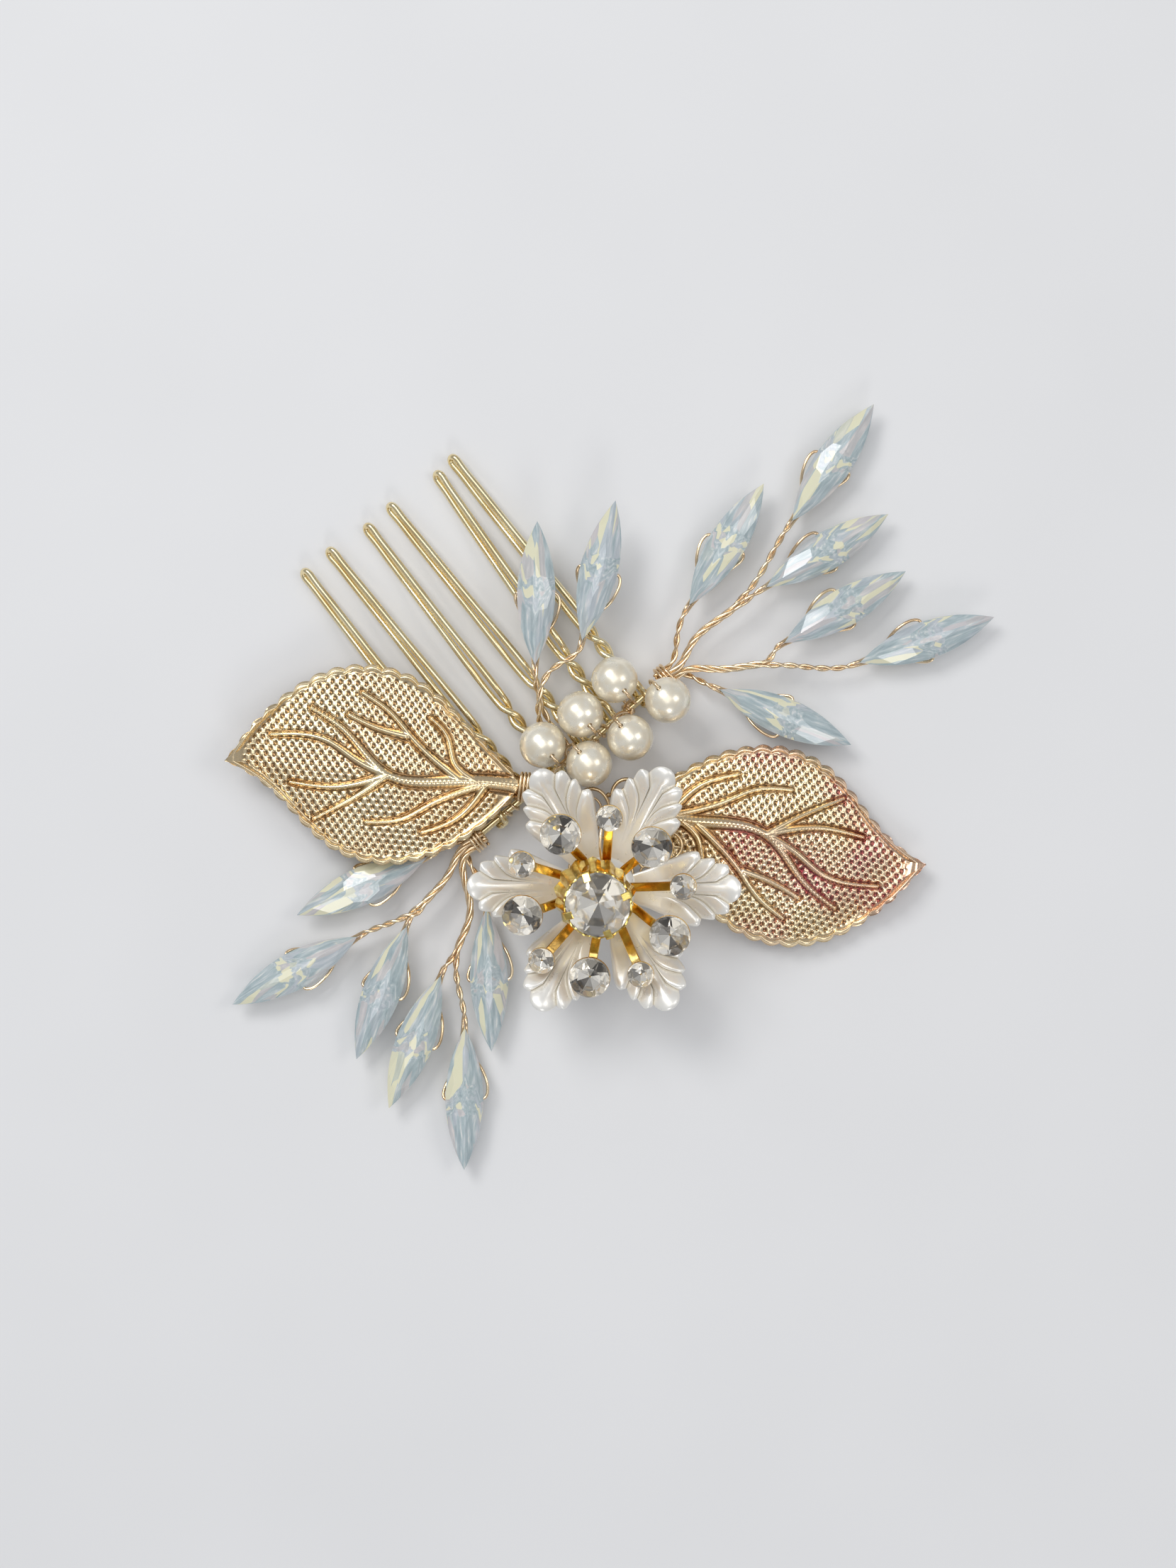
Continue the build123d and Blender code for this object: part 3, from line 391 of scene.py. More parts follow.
def petalSatin():
    # moulded pearly white with painted shade: darker cream in the grooves, so the ribs look brighter
    g = Graph("petalSatin")
    silk = g.cloud(0.8, 2.0)
    return g.surface({"Base Color": g.blend(g.painted("groove"), (0.94, 0.92, 0.86), (0.80, 0.74, 0.62)),
                      "Metallic": 0.35, "Roughness": g.span(silk, 0.3, 0.7, 0.26, 0.40),
                      "Specular IOR Level": 0.7,
                      "Coat Weight": 0.7, "Coat Roughness": 0.12, "Coat IOR": 1.55,
                      "Normal": g.bump(silk, 0.06, 0.02 * mm)})


def opalGlass():
    # milky stone: fine streaks run to its points; long cells are painted reflections from the facets
    # inside, flashing white, pale yellow or rose
    g = Graph("opalGlass")
    where = g.place("UV")
    streak = g.noise(where, 1.6, 4.0, 0.55)
    paintedReflectionCells = g.node("ShaderNodeTexVoronoi", {"feature": "F1"},
                   {"Vector": where, "Scale": 0.9, "Randomness": 1.0}, "Color")
    paintedWhiteFlash = g.node("ShaderNodeSeparateColor", {}, {0: paintedReflectionCells}, "Red")
    paintedTintFlash = g.node("ShaderNodeSeparateColor", {}, {0: paintedReflectionCells}, "Green")
    milk = [(0.0, (0.42, 0.51, 0.54)), (0.45, (0.54, 0.64, 0.66)),
            (0.75, (0.69, 0.76, 0.77)), (1.0, (0.92, 0.93, 0.89))]
    colour = g.node("ShaderNodeValToRGB", {"stops": milk}, {0: g.span(streak, 0.32, 0.68)})
    # painted reflections: the cells turn lighter, pale yellow or rose, as light flashing off inner facets
    colour = g.blend(g.span(paintedWhiteFlash, 0.55, 1.0, 0.0, 0.5), colour, (0.74, 0.74, 0.80))
    colour = g.blend(g.span(paintedTintFlash, 0.80, 0.83), colour, (1.0, 0.96, 0.70))
    colour = g.blend((1 - g.span(paintedTintFlash, 0.12, 0.16)) * 0.45, colour, (0.90, 0.76, 0.72))
    return g.surface({"Base Color": colour, "Metallic": 0.0, "Roughness": 0.07,
                      "Transmission Weight": 0.22, "IOR": 1.52,
                      "Subsurface Weight": 0.25, "Subsurface Radius": (0.7, 0.8, 0.9),
                      "Subsurface Scale": 1.0 * mm,
                      "Coat Weight": 0.4, "Coat Roughness": 0.05, "Coat IOR": 1.55})


def crystalGlass():
    # clear and colourless, with the faintest cloud
    g = Graph("crystalGlass")
    faint = g.cloud(1.5, 1.0)
    colour = g.blend(g.span(faint, 0.3, 0.7), (0.98, 0.98, 0.97), (0.95, 0.95, 0.95))
    return g.surface({"Base Color": colour, "Metallic": 0.0, "Roughness": 0.0,
                      "Transmission Weight": 1.0, "IOR": 1.62})


def foilBack():
    # bright foil with painted reflections: each facet has its own painted shade, from white to dark grey
    g = Graph("foilBack")
    shine = g.painted("shine")
    faint = g.cloud(0.4, 2.0)
    colour = g.blend((shine + faint * 0.1).clipped(), (0.12, 0.10, 0.08), (1.0, 0.96, 0.88))
    # painted glow: the foil gives off a little light in its facet's painted shade, though it is no lamp
    return g.surface({"Base Color": colour, "Metallic": 1.0, "Roughness": 0.08, "Emission Strength": 0.28,
                      "Emission Color": g.blend(shine.clipped(), (0.0, 0.0, 0.0), (1.0, 0.96, 0.87))})


def shadedLeafPlate(name, blush=0.0):
    # painted highlights on the raised rim, veins and dots, painted brown shade in the low places;
    # a dusky blush towards the tip
    g = Graph(name)
    drift = g.span(g.cloud(5.0, 2.0), 0.35, 0.65)
    fine = g.cloud(0.2, 4.0, 0.6)
    pale = g.blend(drift, (1.0, 0.85, 0.56), (0.93, 0.72, 0.44))
    low = g.blend(drift, (0.34, 0.20, 0.08), (0.26, 0.14, 0.06))
    if blush:
        patch = g.cloud(7.0, 1.0)
        tint = g.span(patch + g.painted("along") * 0.45, 0.70, 0.92)
        pale = g.blend(tint * blush, pale, (0.74, 0.38, 0.34))
        low = g.blend(tint, low, (0.24, 0.04, 0.05))
    # painted light: the raised places are painted pale as highlights, the low ones dark as shade
    high = g.span(g.painted("lift"), -0.5, 0.4) + g.span(g.painted("net"), -0.5, 0.4, -0.5, 0.45)
    return g.surface({"Base Color": g.blend(high.clipped(), low, pale), "Metallic": 1.0,
                      "Roughness": g.span(fine, 0.3, 0.7, 0.18, 0.30),
                      "Normal": g.bump(fine, 0.3, 0.010 * mm)})


pearlShell, petalShell, opalStone = pearlCoat(), petalSatin(), opalGlass()
clearGlass, foilWithPaintedGlints = crystalGlass(), foilBack()
leafGold, leafBlush = shadedLeafPlate("leafGold"), shadedLeafPlate("leafBlush", 0.45)
print("materials made")


# the comb: six hairpins hooked over the spine; craft wire binds all the rest to it

comb = {"spineDiameter": 0.8, "overhang": 4.0, "teeth": 6, "pitch": 3.97, "length": 32.4, "wire": 0.7,
        "twistStart": 1.6, "twistLength": 9.0, "halfTurns": 3, "arch": 1.3, "tipDrop": 1.0,
        "tipRadius": 0.52, "tipRoll": 52, "legSpread": 0.05, "clearance": 0.05, "hookAir": 0.06,
        "archSooner": 1.15, "leanPower": 1.3, "hookTurn": (8, 140), "hookSplay": 30, "tipTurn": (25, 155),
        "twistFrom": 0.06, "twistLoose": 1.05,
        # four places on each leg: share of the length, share of the roll, spread, share of the tip
        "legAt": (0.45, 0.66, 0.90, 0.965), "legRoll": (0.3, 0.7, 1, 1), "legWider": (1.6, 1),
        "tipWide": (0.96, 1),
        "lean": (-0.8, -2.5, -0.5, -1.2, -0.5, -1.0), "extra": (0.0, -0.3, 0.3, 0.2, 0.8, 0.8)}
craft = {"wire": 0.33, "pitch": 3.4, "ropePitch": 6.2}
coil = {"air": 0.03, "humpAir": 0.04, "gap": 0.22, "humpHalf": 0.45, "turns": 2}
spineRadius = comb["spineDiameter"] / 2
spineEnd = (comb["teeth"] - 1) / 2 * comb["pitch"] + comb["overhang"]
toothRoots = (np.arange(comb["teeth"]) - (comb["teeth"] - 1) / 2) * comb["pitch"]
hookRadius = (comb["spineDiameter"] + comb["wire"]) / 2 + comb["hookAir"]
toothHalf = comb["wire"] / 2 + comb["clearance"]  # from a tooth's middle to the middle of its leg


def craftTube(path, sides=10):  # craft wire along a path
    return tube(path, craft["wire"] / 2, sides)


def addWire(name, shape, node):  # a craft wire piece of the comb
    addPiece(name, shape, craftGold, "comb", [node])


def toothPath(index):
    # hook over the spine, a helix of half turns, two near legs and a round tip
    root, lean = toothRoots[index], comb["lean"][index]
    length = comb["length"] + comb["extra"][index]

    def centre(along):  # leaning by a power curve, arched by a sine, less a steady drop
        share = along / length
        rise = comb["arch"] * np.sin(math.pi * np.minimum(1, share * comb["archSooner"]))
        side = root + lean * share ** comb["leanPower"]
        return np.stack([side, -along, rise - comb["tipDrop"] * share], axis=-1)

    def across(share):  # unit vector across the tooth, rolled over towards the tip
        roll = np.radians(comb["tipRoll"] * np.asarray(share))
        return np.stack([np.cos(roll), 0 * roll, -np.sin(roll)], axis=-1)

    def half(sign):  # one side of the wire, from the top of its hook to its tip
        turn = np.radians(np.linspace(*comb["hookTurn"], 9))
        splay = np.minimum(1, np.degrees(turn) / comb["hookSplay"])
        hook = np.stack([root - sign * toothHalf * splay,
                         hookRadius * np.cos(turn), sign * hookRadius * np.sin(turn)], axis=1)
        share = np.linspace(comb["twistFrom"], 1, 26)
        along = comb["twistStart"] + (comb["twistLength"] - comb["twistStart"]) * share
        turn = math.pi * comb["halfTurns"] * share
        off = np.stack([-sign * np.cos(turn), 0 * turn, sign * np.sin(turn)], axis=1)
        twist = centre(along) + off * toothHalf * comb["twistLoose"]
        widths = np.array([toothHalf + comb["legSpread"] * more for more in comb["legWider"]]
                          + [comb["tipRadius"] * part for part in comb["tipWide"]])
        legs = centre(length * np.array(comb["legAt"]))
        legs += across(comb["legRoll"]) * (sign * tipSide * widths)[:, None]
        return np.concatenate([hook, twist, legs])

    tipSide = 1 if comb["halfTurns"] % 2 else -1  # an odd number of half turns swaps the legs
    turn = np.radians(np.linspace(*comb["tipTurn"], 7))
    reach = comb["tipRadius"]
    tip = centre(length - reach + reach * np.sin(turn))
    tip += across(1)[None, :] * (tipSide * reach * np.cos(turn))[:, None]
    return curveThrough(np.concatenate([half(1), tip, half(-1)[::-1]]), 420)


for index in range(comb["teeth"]):
    addPiece("tooth%d" % (index + 1), tube(toothPath(index), comb["wire"] / 2, 14), toothGold,
             "comb", ["comb_tooth_%d" % (index + 1)])
straight = spineEnd - spineRadius  # the domed ends reach the rest of the way
spine = tube(np.linspace((-straight, 0, 0), (straight, 0, 0), 12), spineRadius, 18)
addPiece("spine", spine, toothGold, "comb", ["comb_spine"])


def spineCoil():
    # one wire wound twice round the spine in each gap, with a hump over each hook in between
    radius = (comb["spineDiameter"] + craft["wire"]) / 2 + coil["air"]
    over = hookRadius + comb["wire"] / 2 + craft["wire"] / 2 + coil["humpAir"]
    clear = 2 * toothHalf + coil["gap"]
    share = np.linspace(0, 1, 25)
    turn = math.pi / 2 + 2 * math.pi * coil["turns"] * share
    rows = []
    for index in range(comb["teeth"] - 1):
        left, right = toothRoots[index] + clear, toothRoots[index + 1] - clear
        rows.append(np.stack([left + (right - left) * share, radius * np.cos(turn),
                              radius * np.sin(turn)], axis=1))
        if index < comb["teeth"] - 2:
            hump = toothRoots[index + 1] - toothHalf
            rows.append(np.array([(hump - coil["humpHalf"], 0, over), (hump + coil["humpHalf"], 0, over)]))
    return curveThrough(np.concatenate(rows), 900)


addWire("spineBinding", craftTube(spineCoil()), "spine_binding_wire")
print("comb made")


# pearls: each on its own body, bored along its joint's axis

pearl = {"bore": 0.50, "edge": 0.09, "bands": 44, "sides": 64, "air": 0.10, "tilt": 42.0,
         "footHeight": 1.16, "footStep": 0.28, "wideBox": 1.2}


def nodeBox(node):  # lowest and highest corner in millimetres
    low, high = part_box(node)
    return np.array(low) / mm, np.array(high) / mm


def axisFrame(axis):  # matrix whose third column is the axis
    axis = np.asarray(axis, float) / np.linalg.norm(axis)
    side = unitRows(np.cross((0, 1, 0) if abs(axis[1]) < 0.8 else (1, 0, 0), axis))
    return np.stack([side, np.cross(axis, side), axis], axis=1)


def pearlOutline(radius):
    # straight up the bore, round its softened lips, and over the ball from pole to pole
    hole, edge = pearl["bore"] / 2, pearl["edge"]
    start = math.asin((hole + edge) / radius)
    lip = np.radians(np.linspace(0, 90, 6))[:-1]
    ball = np.linspace(start, math.pi - start, pearl["bands"])
    rim = radius * math.cos(start)
    top = np.stack([hole + edge * (1 - np.cos(lip)), rim - edge * (1 - np.sin(lip))], axis=1)
    outer = radius * np.stack([np.sin(ball), np.cos(ball)], axis=1)
    return np.concatenate([top, outer, top[::-1] * (1, -1)])


pearlBalls = {}  # each pearl's centre and radius
for joint in frame["joints"]:
    body = joint["child"]
    number = body.split("_")[1]
    low, high = nodeBox("pearl_" + number)
    centre, radius = np.array(joint["pos_m"]) / mm, (high[0] - low[0]) / 2
    pearlBalls[number] = centre, radius
    outline = pearlOutline(radius)
    ball = closedGrid(carried(outline, pearl["sides"]), len(outline), pearl["sides"])
    addPiece("pearl" + number, moved(ball, centre, axisFrame(joint["axis"])), pearlShell, body,
             ["pearl_" + number])


def pearlWirePath(number):
    # up between the rows, through the bore and back under the pearl to the spine
    centre, radius = pearlBalls[number]
    inner = 1 if centre[1] < 0 else -1
    past = radius + craft["wire"] / 2 + pearl["air"]
    tilt, foot, step = pearl["tilt"], pearl["footHeight"], pearl["footStep"]

    def around(degrees, reach):  # a place round the pearl's middle, 0 up and 90 towards the spine
        turn = math.radians(degrees)
        return centre + np.array([0, inner * math.sin(turn), math.cos(turn)]) * reach

    low, high = nodeBox("pearl_wire_" + number)
    landing = (low[0] + high[0]) / 2  # in a wide box the wire runs from the pearl to the far side
    if high[0] - low[0] > pearl["wideBox"]:
        landing = low[0] + high[0] - centre[0]
    halfway = (centre[0] + landing) / 2
    return curveThrough([
        (landing + step, -inner * step, foot),
        (halfway + 0.17, centre[1] + inner * (past + 0.02), centre[2] - radius * 0.45),
        around(88, past + 0.02), around(62, past + 0.12), around(tilt + 4, radius + 0.42),
        around(tilt, radius + 0.25), around(tilt, radius * 0.4), around(180 + tilt, radius * 0.4),
        around(180 + tilt, radius + 0.25), around(174 + tilt, radius + 0.45),
        around(158 + tilt, past + 0.06), around(180, past),
        (halfway, centre[1] + inner * radius * 0.5, centre[2] - past),
        (landing - step, -inner * step, foot)], 160)


for number in sorted(pearlBalls):
    addWire("pearlWire" + number, craftTube(pearlWirePath(number)), "pearl_wire_" + number)
print("pearls made")


# opals: pointed drops, cut by planes from a blank

opal = {"length": 15.0, "width": 4.0, "bulge": 0.06, "girdle": 0.25, "crown": 1.0, "pavilion": 1.35,
        # facets: heading, slope and, on the crown, height, which sets one in by the crown's slope
        "crownSlope": 38,
        "upper": ((66, 37, 0), (82, 40, 0), (98, 40, 0), (114, 37, 0),
                  (74, 27, 0.42), (90, 24, 0.60), (106, 27, 0.42)),
        "lower": ((66, 144), (82, 144), (98, 144), (114, 144))}
opalMap = {"along": 3.6, "across": 3.4, "up": 0.6, "slideAlong": 9.7, "slideAcross": 3.1, "otherHalf": 4.3,
           "tipHalf": 0.25}


def cutSolid(shape, planes):
    # keeps what lies under every plane, given as a point on it and the direction out of it
    bm = bmesh.new()
    corners = [bm.verts.new(p) for p in shape[0]]
    for face in shape[1]:
        bm.faces.new([corners[i] for i in face])
    for place, out in planes:
        cut = bmesh.ops.bisect_plane(bm, geom=bm.verts[:] + bm.edges[:] + bm.faces[:], dist=1e-5,
                                     plane_co=place, plane_no=out, clear_outer=True)
        rim = [e for e in cut["geom_cut"] if isinstance(e, bmesh.types.BMEdge)]
        if len(rim) > 2:
            bmesh.ops.contextual_create(bm, geom=rim)
    bmesh.ops.recalc_face_normals(bm, faces=bm.faces)
    bm.verts.index_update()
    shape = np.array([v.co for v in bm.verts]), [[v.index for v in f.verts] for f in bm.faces]
    bm.free()
    return shape


def facetPlane(heading, slope, reach, height):
    # a plane so far out along its heading, its outward direction leaning from the upright by slope
    level, tilt = math.radians(heading), math.radians(slope)
    out = (math.cos(level) * math.sin(tilt), math.sin(level) * math.sin(tilt), math.cos(tilt))
    return (math.cos(level) * reach, math.sin(level) * reach, height), out


def opalReach(heading):  # how far the pointed oval, two arcs that meet, reaches along a direction
    half, side = opal["length"] / 2, opal["width"] / 2
    radius = (half ** 2 + side ** 2) / (2 * side)
    return radius - (radius - side) * math.sin(math.radians(heading))


def opalStoneShape():
    # an upright pointed blank, cut above and below the girdle, first for one side, then the other
    share, girdle = np.linspace(-1, 1, 17), opal["girdle"] / 2
    edge = opal["width"] / 2 * (1 - share ** 2) * (1 + opal["bulge"] * (1 - share ** 2) * share ** 2)
    upper = np.stack([share * opal["length"] / 2, edge], axis=1)
    blank = prism(np.concatenate([upper, -upper[1:-1]]), -girdle - opal["pavilion"], girdle + opal["crown"])
    planes = []
    for turn in (0, 180):
        for heading, slope, lift in opal["upper"]:
            inward = lift / math.tan(math.radians(opal["crownSlope"]))
            planes.append(facetPlane(heading + turn, slope, opalReach(heading) - inward, girdle + lift))
        for heading, slope in opal["lower"]:
            planes.append(facetPlane(heading + turn, slope, opalReach(heading), -girdle))
    return cutSolid(blank, planes)


def stoneFrame(node):
    # frame of a drop from its CAD node: x from the end nearer the spine to the other, z out of its table
    mesh = frame["nodes"][node].data
    v = np.empty(len(mesh.vertices) * 3)
    mesh.vertices.foreach_get("co", v)
    v = v.reshape(-1, 3) / mm
    middle = (v.min(0) + v.max(0)) / 2
    for _ in range(2):
        far = v[np.argmax(np.linalg.norm(v - middle, axis=1))]
        other = v[np.argmax(np.linalg.norm(v - far, axis=1))]
        middle = (far + other) / 2
    base, tip = (far, other) if np.linalg.norm(far[:2]) < np.linalg.norm(other[:2]) else (other, far)
    ahead = unitRows(tip - base)
    loose = v - v.mean(0)
    ways = np.linalg.svd(loose - np.outer(loose @ ahead, ahead), full_matrices=False)[2]
    level = np.cross(ahead, ways[0])
    up = level if level[2] > 0 else -level
    up = unitRows(up - ahead * (up @ ahead))
    return base, np.stack([ahead, np.cross(up, ahead), up], axis=1)


def addOpal(node, number):
    # its own map runs along and across the stone, slid by its number so that no two look alike
    points, faces = opalShape
    shape = moved((points + (opal["length"] / 2, 0, 0), faces), *opalFrames[node])
    piece = addPiece(titled("opal", node[5:]), shape, opalStone, "comb", [node], smooth=0)
    layer = piece.data.uv_layers.new(name="stone")
    corners = np.empty(len(piece.data.loops), int)
    piece.data.loops.foreach_get("vertex_index", corners)
    x, y, z = points[corners].T
    edge = opalMap["tipHalf"] + opal["width"] / 2 * (1 - (2 * x / opal["length"]) ** 2)
    along = x / opal["length"] * opalMap["along"] + number * opalMap["slideAlong"]
    # the map jumps at the middle, so the painted reflections change there and draw a line across
    along += np.where(x > 0, opalMap["otherHalf"], 0)
    across = y / edge * opalMap["across"] + z * opalMap["up"] + number * opalMap["slideAcross"]
    layer.data.foreach_set("uv", np.stack([along, across], axis=1).astype(np.float32).ravel())


opalShape = opalStoneShape()
opalFrames = {node: stoneFrame(node) for node in sorted(frame["nodes"]) if node.startswith("opal_")}
for number, node in enumerate(opalFrames):
    addOpal(node, number)
print("opals made")


# stems: each drop's wire is looped through it, twisted to a pair, then two pairs to a rope

stem = {"pairRadius": 0.172, "looseness": 0.04, "looseSpots": 7, "ropeRadius": 0.240, "seat": 0.43,
        "reach": 0.38, "step": 0.28, "wireStep": 0.085, "twigStart": 0.6, "twigSide": 0.22,
        "twigBack": 0.5, "boundTo": 1.6,
        "collarTurns": 3, "collarAir": 0.05, "collarInset": 0.25, "collarWidth": 1.2,
        "otherSide": ("opal_right_6", "opal_top_1", "opal_top_2")}  # drops whose bow is on the right


def boundPlaces(side, inset, degrees):  # two places beside the spine's end, for a stem tied there
    turn, distance = math.radians(degrees), stem["seat"] + stem["reach"]
    return tuple((side * (spineEnd - along), distance * math.cos(turn), distance * math.sin(turn))
                 for along in (inset, stem["boundTo"]))


# each stem's drops and its route from them to the spine, in places given one by one
sharedStems = {
    "right_2": (("opal_right_2", "opal_right_3"), (
        (-23.2, -1.0, 1.2), (-17.5, -1.0, 1.0), *boundPlaces(-1, -1.2, 96))),
    "right_3": (("opal_right_5", "opal_right_4"), (
        (-21.6, 5.3, 1.2), (-17.8, 2.8, 0.9), *boundPlaces(-1, -1.2, 24))),
    "left_1": (("opal_left_3", "opal_left_2"), (
        (21.6, 1.8, 0.9), (17.6, 1.1, 0.8), *boundPlaces(1, -1.2, 88))),
    "left_2": (("opal_left_5", "opal_left_4"), (
        (22.1, 7.8, 0.9), (18.3, 5.4, 0.7), *boundPlaces(1, -1.2, 22)))}
singleStems = {
    "right_1": ("opal_right_1", ((-16.7, -2.5, 1.0), *boundPlaces(-1, -0.5, 164))),
    "right_4": ("opal_right_6", ((-15.7, 2.7, 0.5), *boundPlaces(-1, -0.4, -44))),
    "top_1": ("opal_top_1", ((-1.3, -6.4, 1.3), (-0.62, -3.6, 0.5), (-0.60, -1.0, 0.2))),
    "top_2": ("opal_top_2", ((-4.6, -8.3, 3.1), (-0.9, -6.3, 2.4), (0.50, -3.6, 0.8), (0.46, -1.0, 0.2))),
    "left_3": ("opal_left_1", ((16.0, -1.3, 0.4), *boundPlaces(1, -0.6, 160))),
    "left_4": ("opal_left_6", ((15.6, 3.6, 0.3), *boundPlaces(1, -0.6, -46)))}


def levelAcross(way):  # the level direction to the left of a heading
    return np.cross((0, 0, 1.0), way)


def strandOff(route, turn, radius):
    # offset of a strand that winds round a route: level side times cosine, the other times sine
    ways = headings(route)
    side = unitRows(levelAcross(ways))
    return (side * np.cos(turn)[:, None] + np.cross(ways, side) * np.sin(turn)[:, None]) * radius


def twigStart(node):  # where a drop's pair begins, and its heading there
    base, matrix = opalFrames[node]
    return base - matrix[:, 0] * stem["twigStart"], -matrix[:, 0]


def loopPath(node, sign):
    # from the drop's middle out of one side and under it to its base end; one side bows out past
    # the edge first, the other tucks in below it
    half = opal["width"] / 2
    bow = ((0.0, 0.0, 0.0), (0.0, half * 0.6, 0.0), (-0.10, half + 0.18, 0.0), (-0.9, half + 0.46, 0.02),
           (-2.0, half + 0.30, 0.0), (-3.1, half * 0.93, -0.30), (-4.2, half * 0.55, -0.74),
           (-5.4, half * 0.28, -0.78), (-6.6, half * 0.14, -0.60))
    tuck = ((0.0, 0.0, 0.0), (0.0, half * 0.6, 0.0), (-0.06, half + 0.10, -0.02),
            (-0.40, half + 0.20, -0.20), (-1.2, half, -0.50), (-2.6, half * 0.70, -0.84),
            (-4.4, half * 0.40, -0.92), (-5.6, half * 0.24, -0.80), (-6.6, half * 0.14, -0.60))
    shape = bow if sign == (-1 if node in stem["otherSide"] else 1) else tuck
    local = [(opal["length"] / 2 + along, sign * across, up) for along, across, up in shape]
    return placed(local, *opalFrames[node])


def wirePath(node, legs):
    # one leg in, the loop through the drop, and the other leg out, on the sides they lie
    level = levelAcross(twigStart(node)[1])
    left, right = sorted(legs, key=lambda leg: leg[0] @ level)
    rough = np.concatenate([left[::-1], loopPath(node, 1)[::-1], loopPath(node, -1)[1:], right])
    return curveThrough(rough, int(pathLength(rough) / stem["wireStep"]))


def stemLine(points, count, startWay):  # a curve that ends straight on along its last two points
    return curveThrough(points, count, startWay, unitRows(points[-1] - points[-2]))


def stepped(path, fewest):  # the same path in even steps
    return evenly(path, max(fewest, int(pathLength(path) / stem["step"])))


def pairLegs(route, turns):
    # two strands half a turn apart, winding evenly, a little looser here and there by a sine
    share = np.linspace(0, 1, len(route))
    loose = stem["looseness"] * np.sin(stem["looseSpots"] * math.pi * share)
    wide = stem["pairRadius"] * (1 + loose)[:, None]
    return [route + strandOff(route, turns * share + phase, wide) for phase in (0, math.pi)]


def singleStrand(node, route):  # a drop's own pair all the way to the spine
    start, way = twigStart(node)
    line = stepped(stemLine(np.array([start, *route]), 90, way), 30)
    return craftTube(wirePath(node, pairLegs(line, 2 * math.pi * pathLength(line) / craft["pitch"])))


def sharedStrands(nodes, route):
    # two twigs come in side by side; each strand goes on from its pair's path to the rope's
    points = np.array(route)
    first = unitRows(points[1] - points[0])
    level = levelAcross(first)
    rope = stepped(stemLine(points, 120, first), 2)
    wind = 2 * math.pi * pathLength(rope) / craft["ropePitch"] * np.linspace(0, 1, len(rope))
    upper = max(nodes, key=lambda node: (twigStart(node)[0] - points[0]) @ level)
    shapes = []
    for node in nodes:
        start, way = twigStart(node)
        side = 1 if node == upper else -1
        arrive = points[0] + level * side * stem["twigSide"] - first * stem["twigBack"]
        twig = stepped(curveThrough([start, arrive], 60, way, first), 12)
        turns = math.pi * (max(1, round(2 * pathLength(twig) / craft["pitch"] - 0.5)) + 0.5)
        legs = []
        for leg, phase in zip(pairLegs(twig, turns), (0, math.pi)):
            top = math.sin(turns + phase) > 0  # four strands start at the rope's four quarters
            onward = math.radians((45 if top else -45) if side > 0 else (135 if top else 225))
            strand = rope + strandOff(rope, onward + wind, stem["ropeRadius"])
            legs.append(np.concatenate([leg[:-1], strand]))
        shapes.append(craftTube(wirePath(node, legs), 9))
    return merged(shapes)


for name, (node, route) in singleStems.items():
    addWire(titled("stem", name), singleStrand(node, route), "sprig_wire_" + name)
for name, (nodes, route) in sharedStems.items():
    addWire(titled("stem", name), sharedStrands(nodes, route), "sprig_wire_" + name)


def collarPath(side):
    # three turns round the spine's end and the stems laid against it
    share = np.linspace(0, 1, 60)
    turn = 2 * math.pi * stem["collarTurns"] * share
    reach = stem["seat"] + 2 * stem["reach"] + stem["collarAir"] + craft["wire"] / 2
    along = side * (spineEnd - stem["collarInset"] - stem["collarWidth"] * share)
    return np.stack([along, reach * np.cos(turn), reach * np.sin(turn)], axis=1)


addWire("stemBinding", merged([craftTube(collarPath(side)) for side in (-1, 1)]), "stem_binding_wire")
print("stems made")


# leaves: pressed sheets with a scalloped edge, a rolled rim, veins and a net of dots

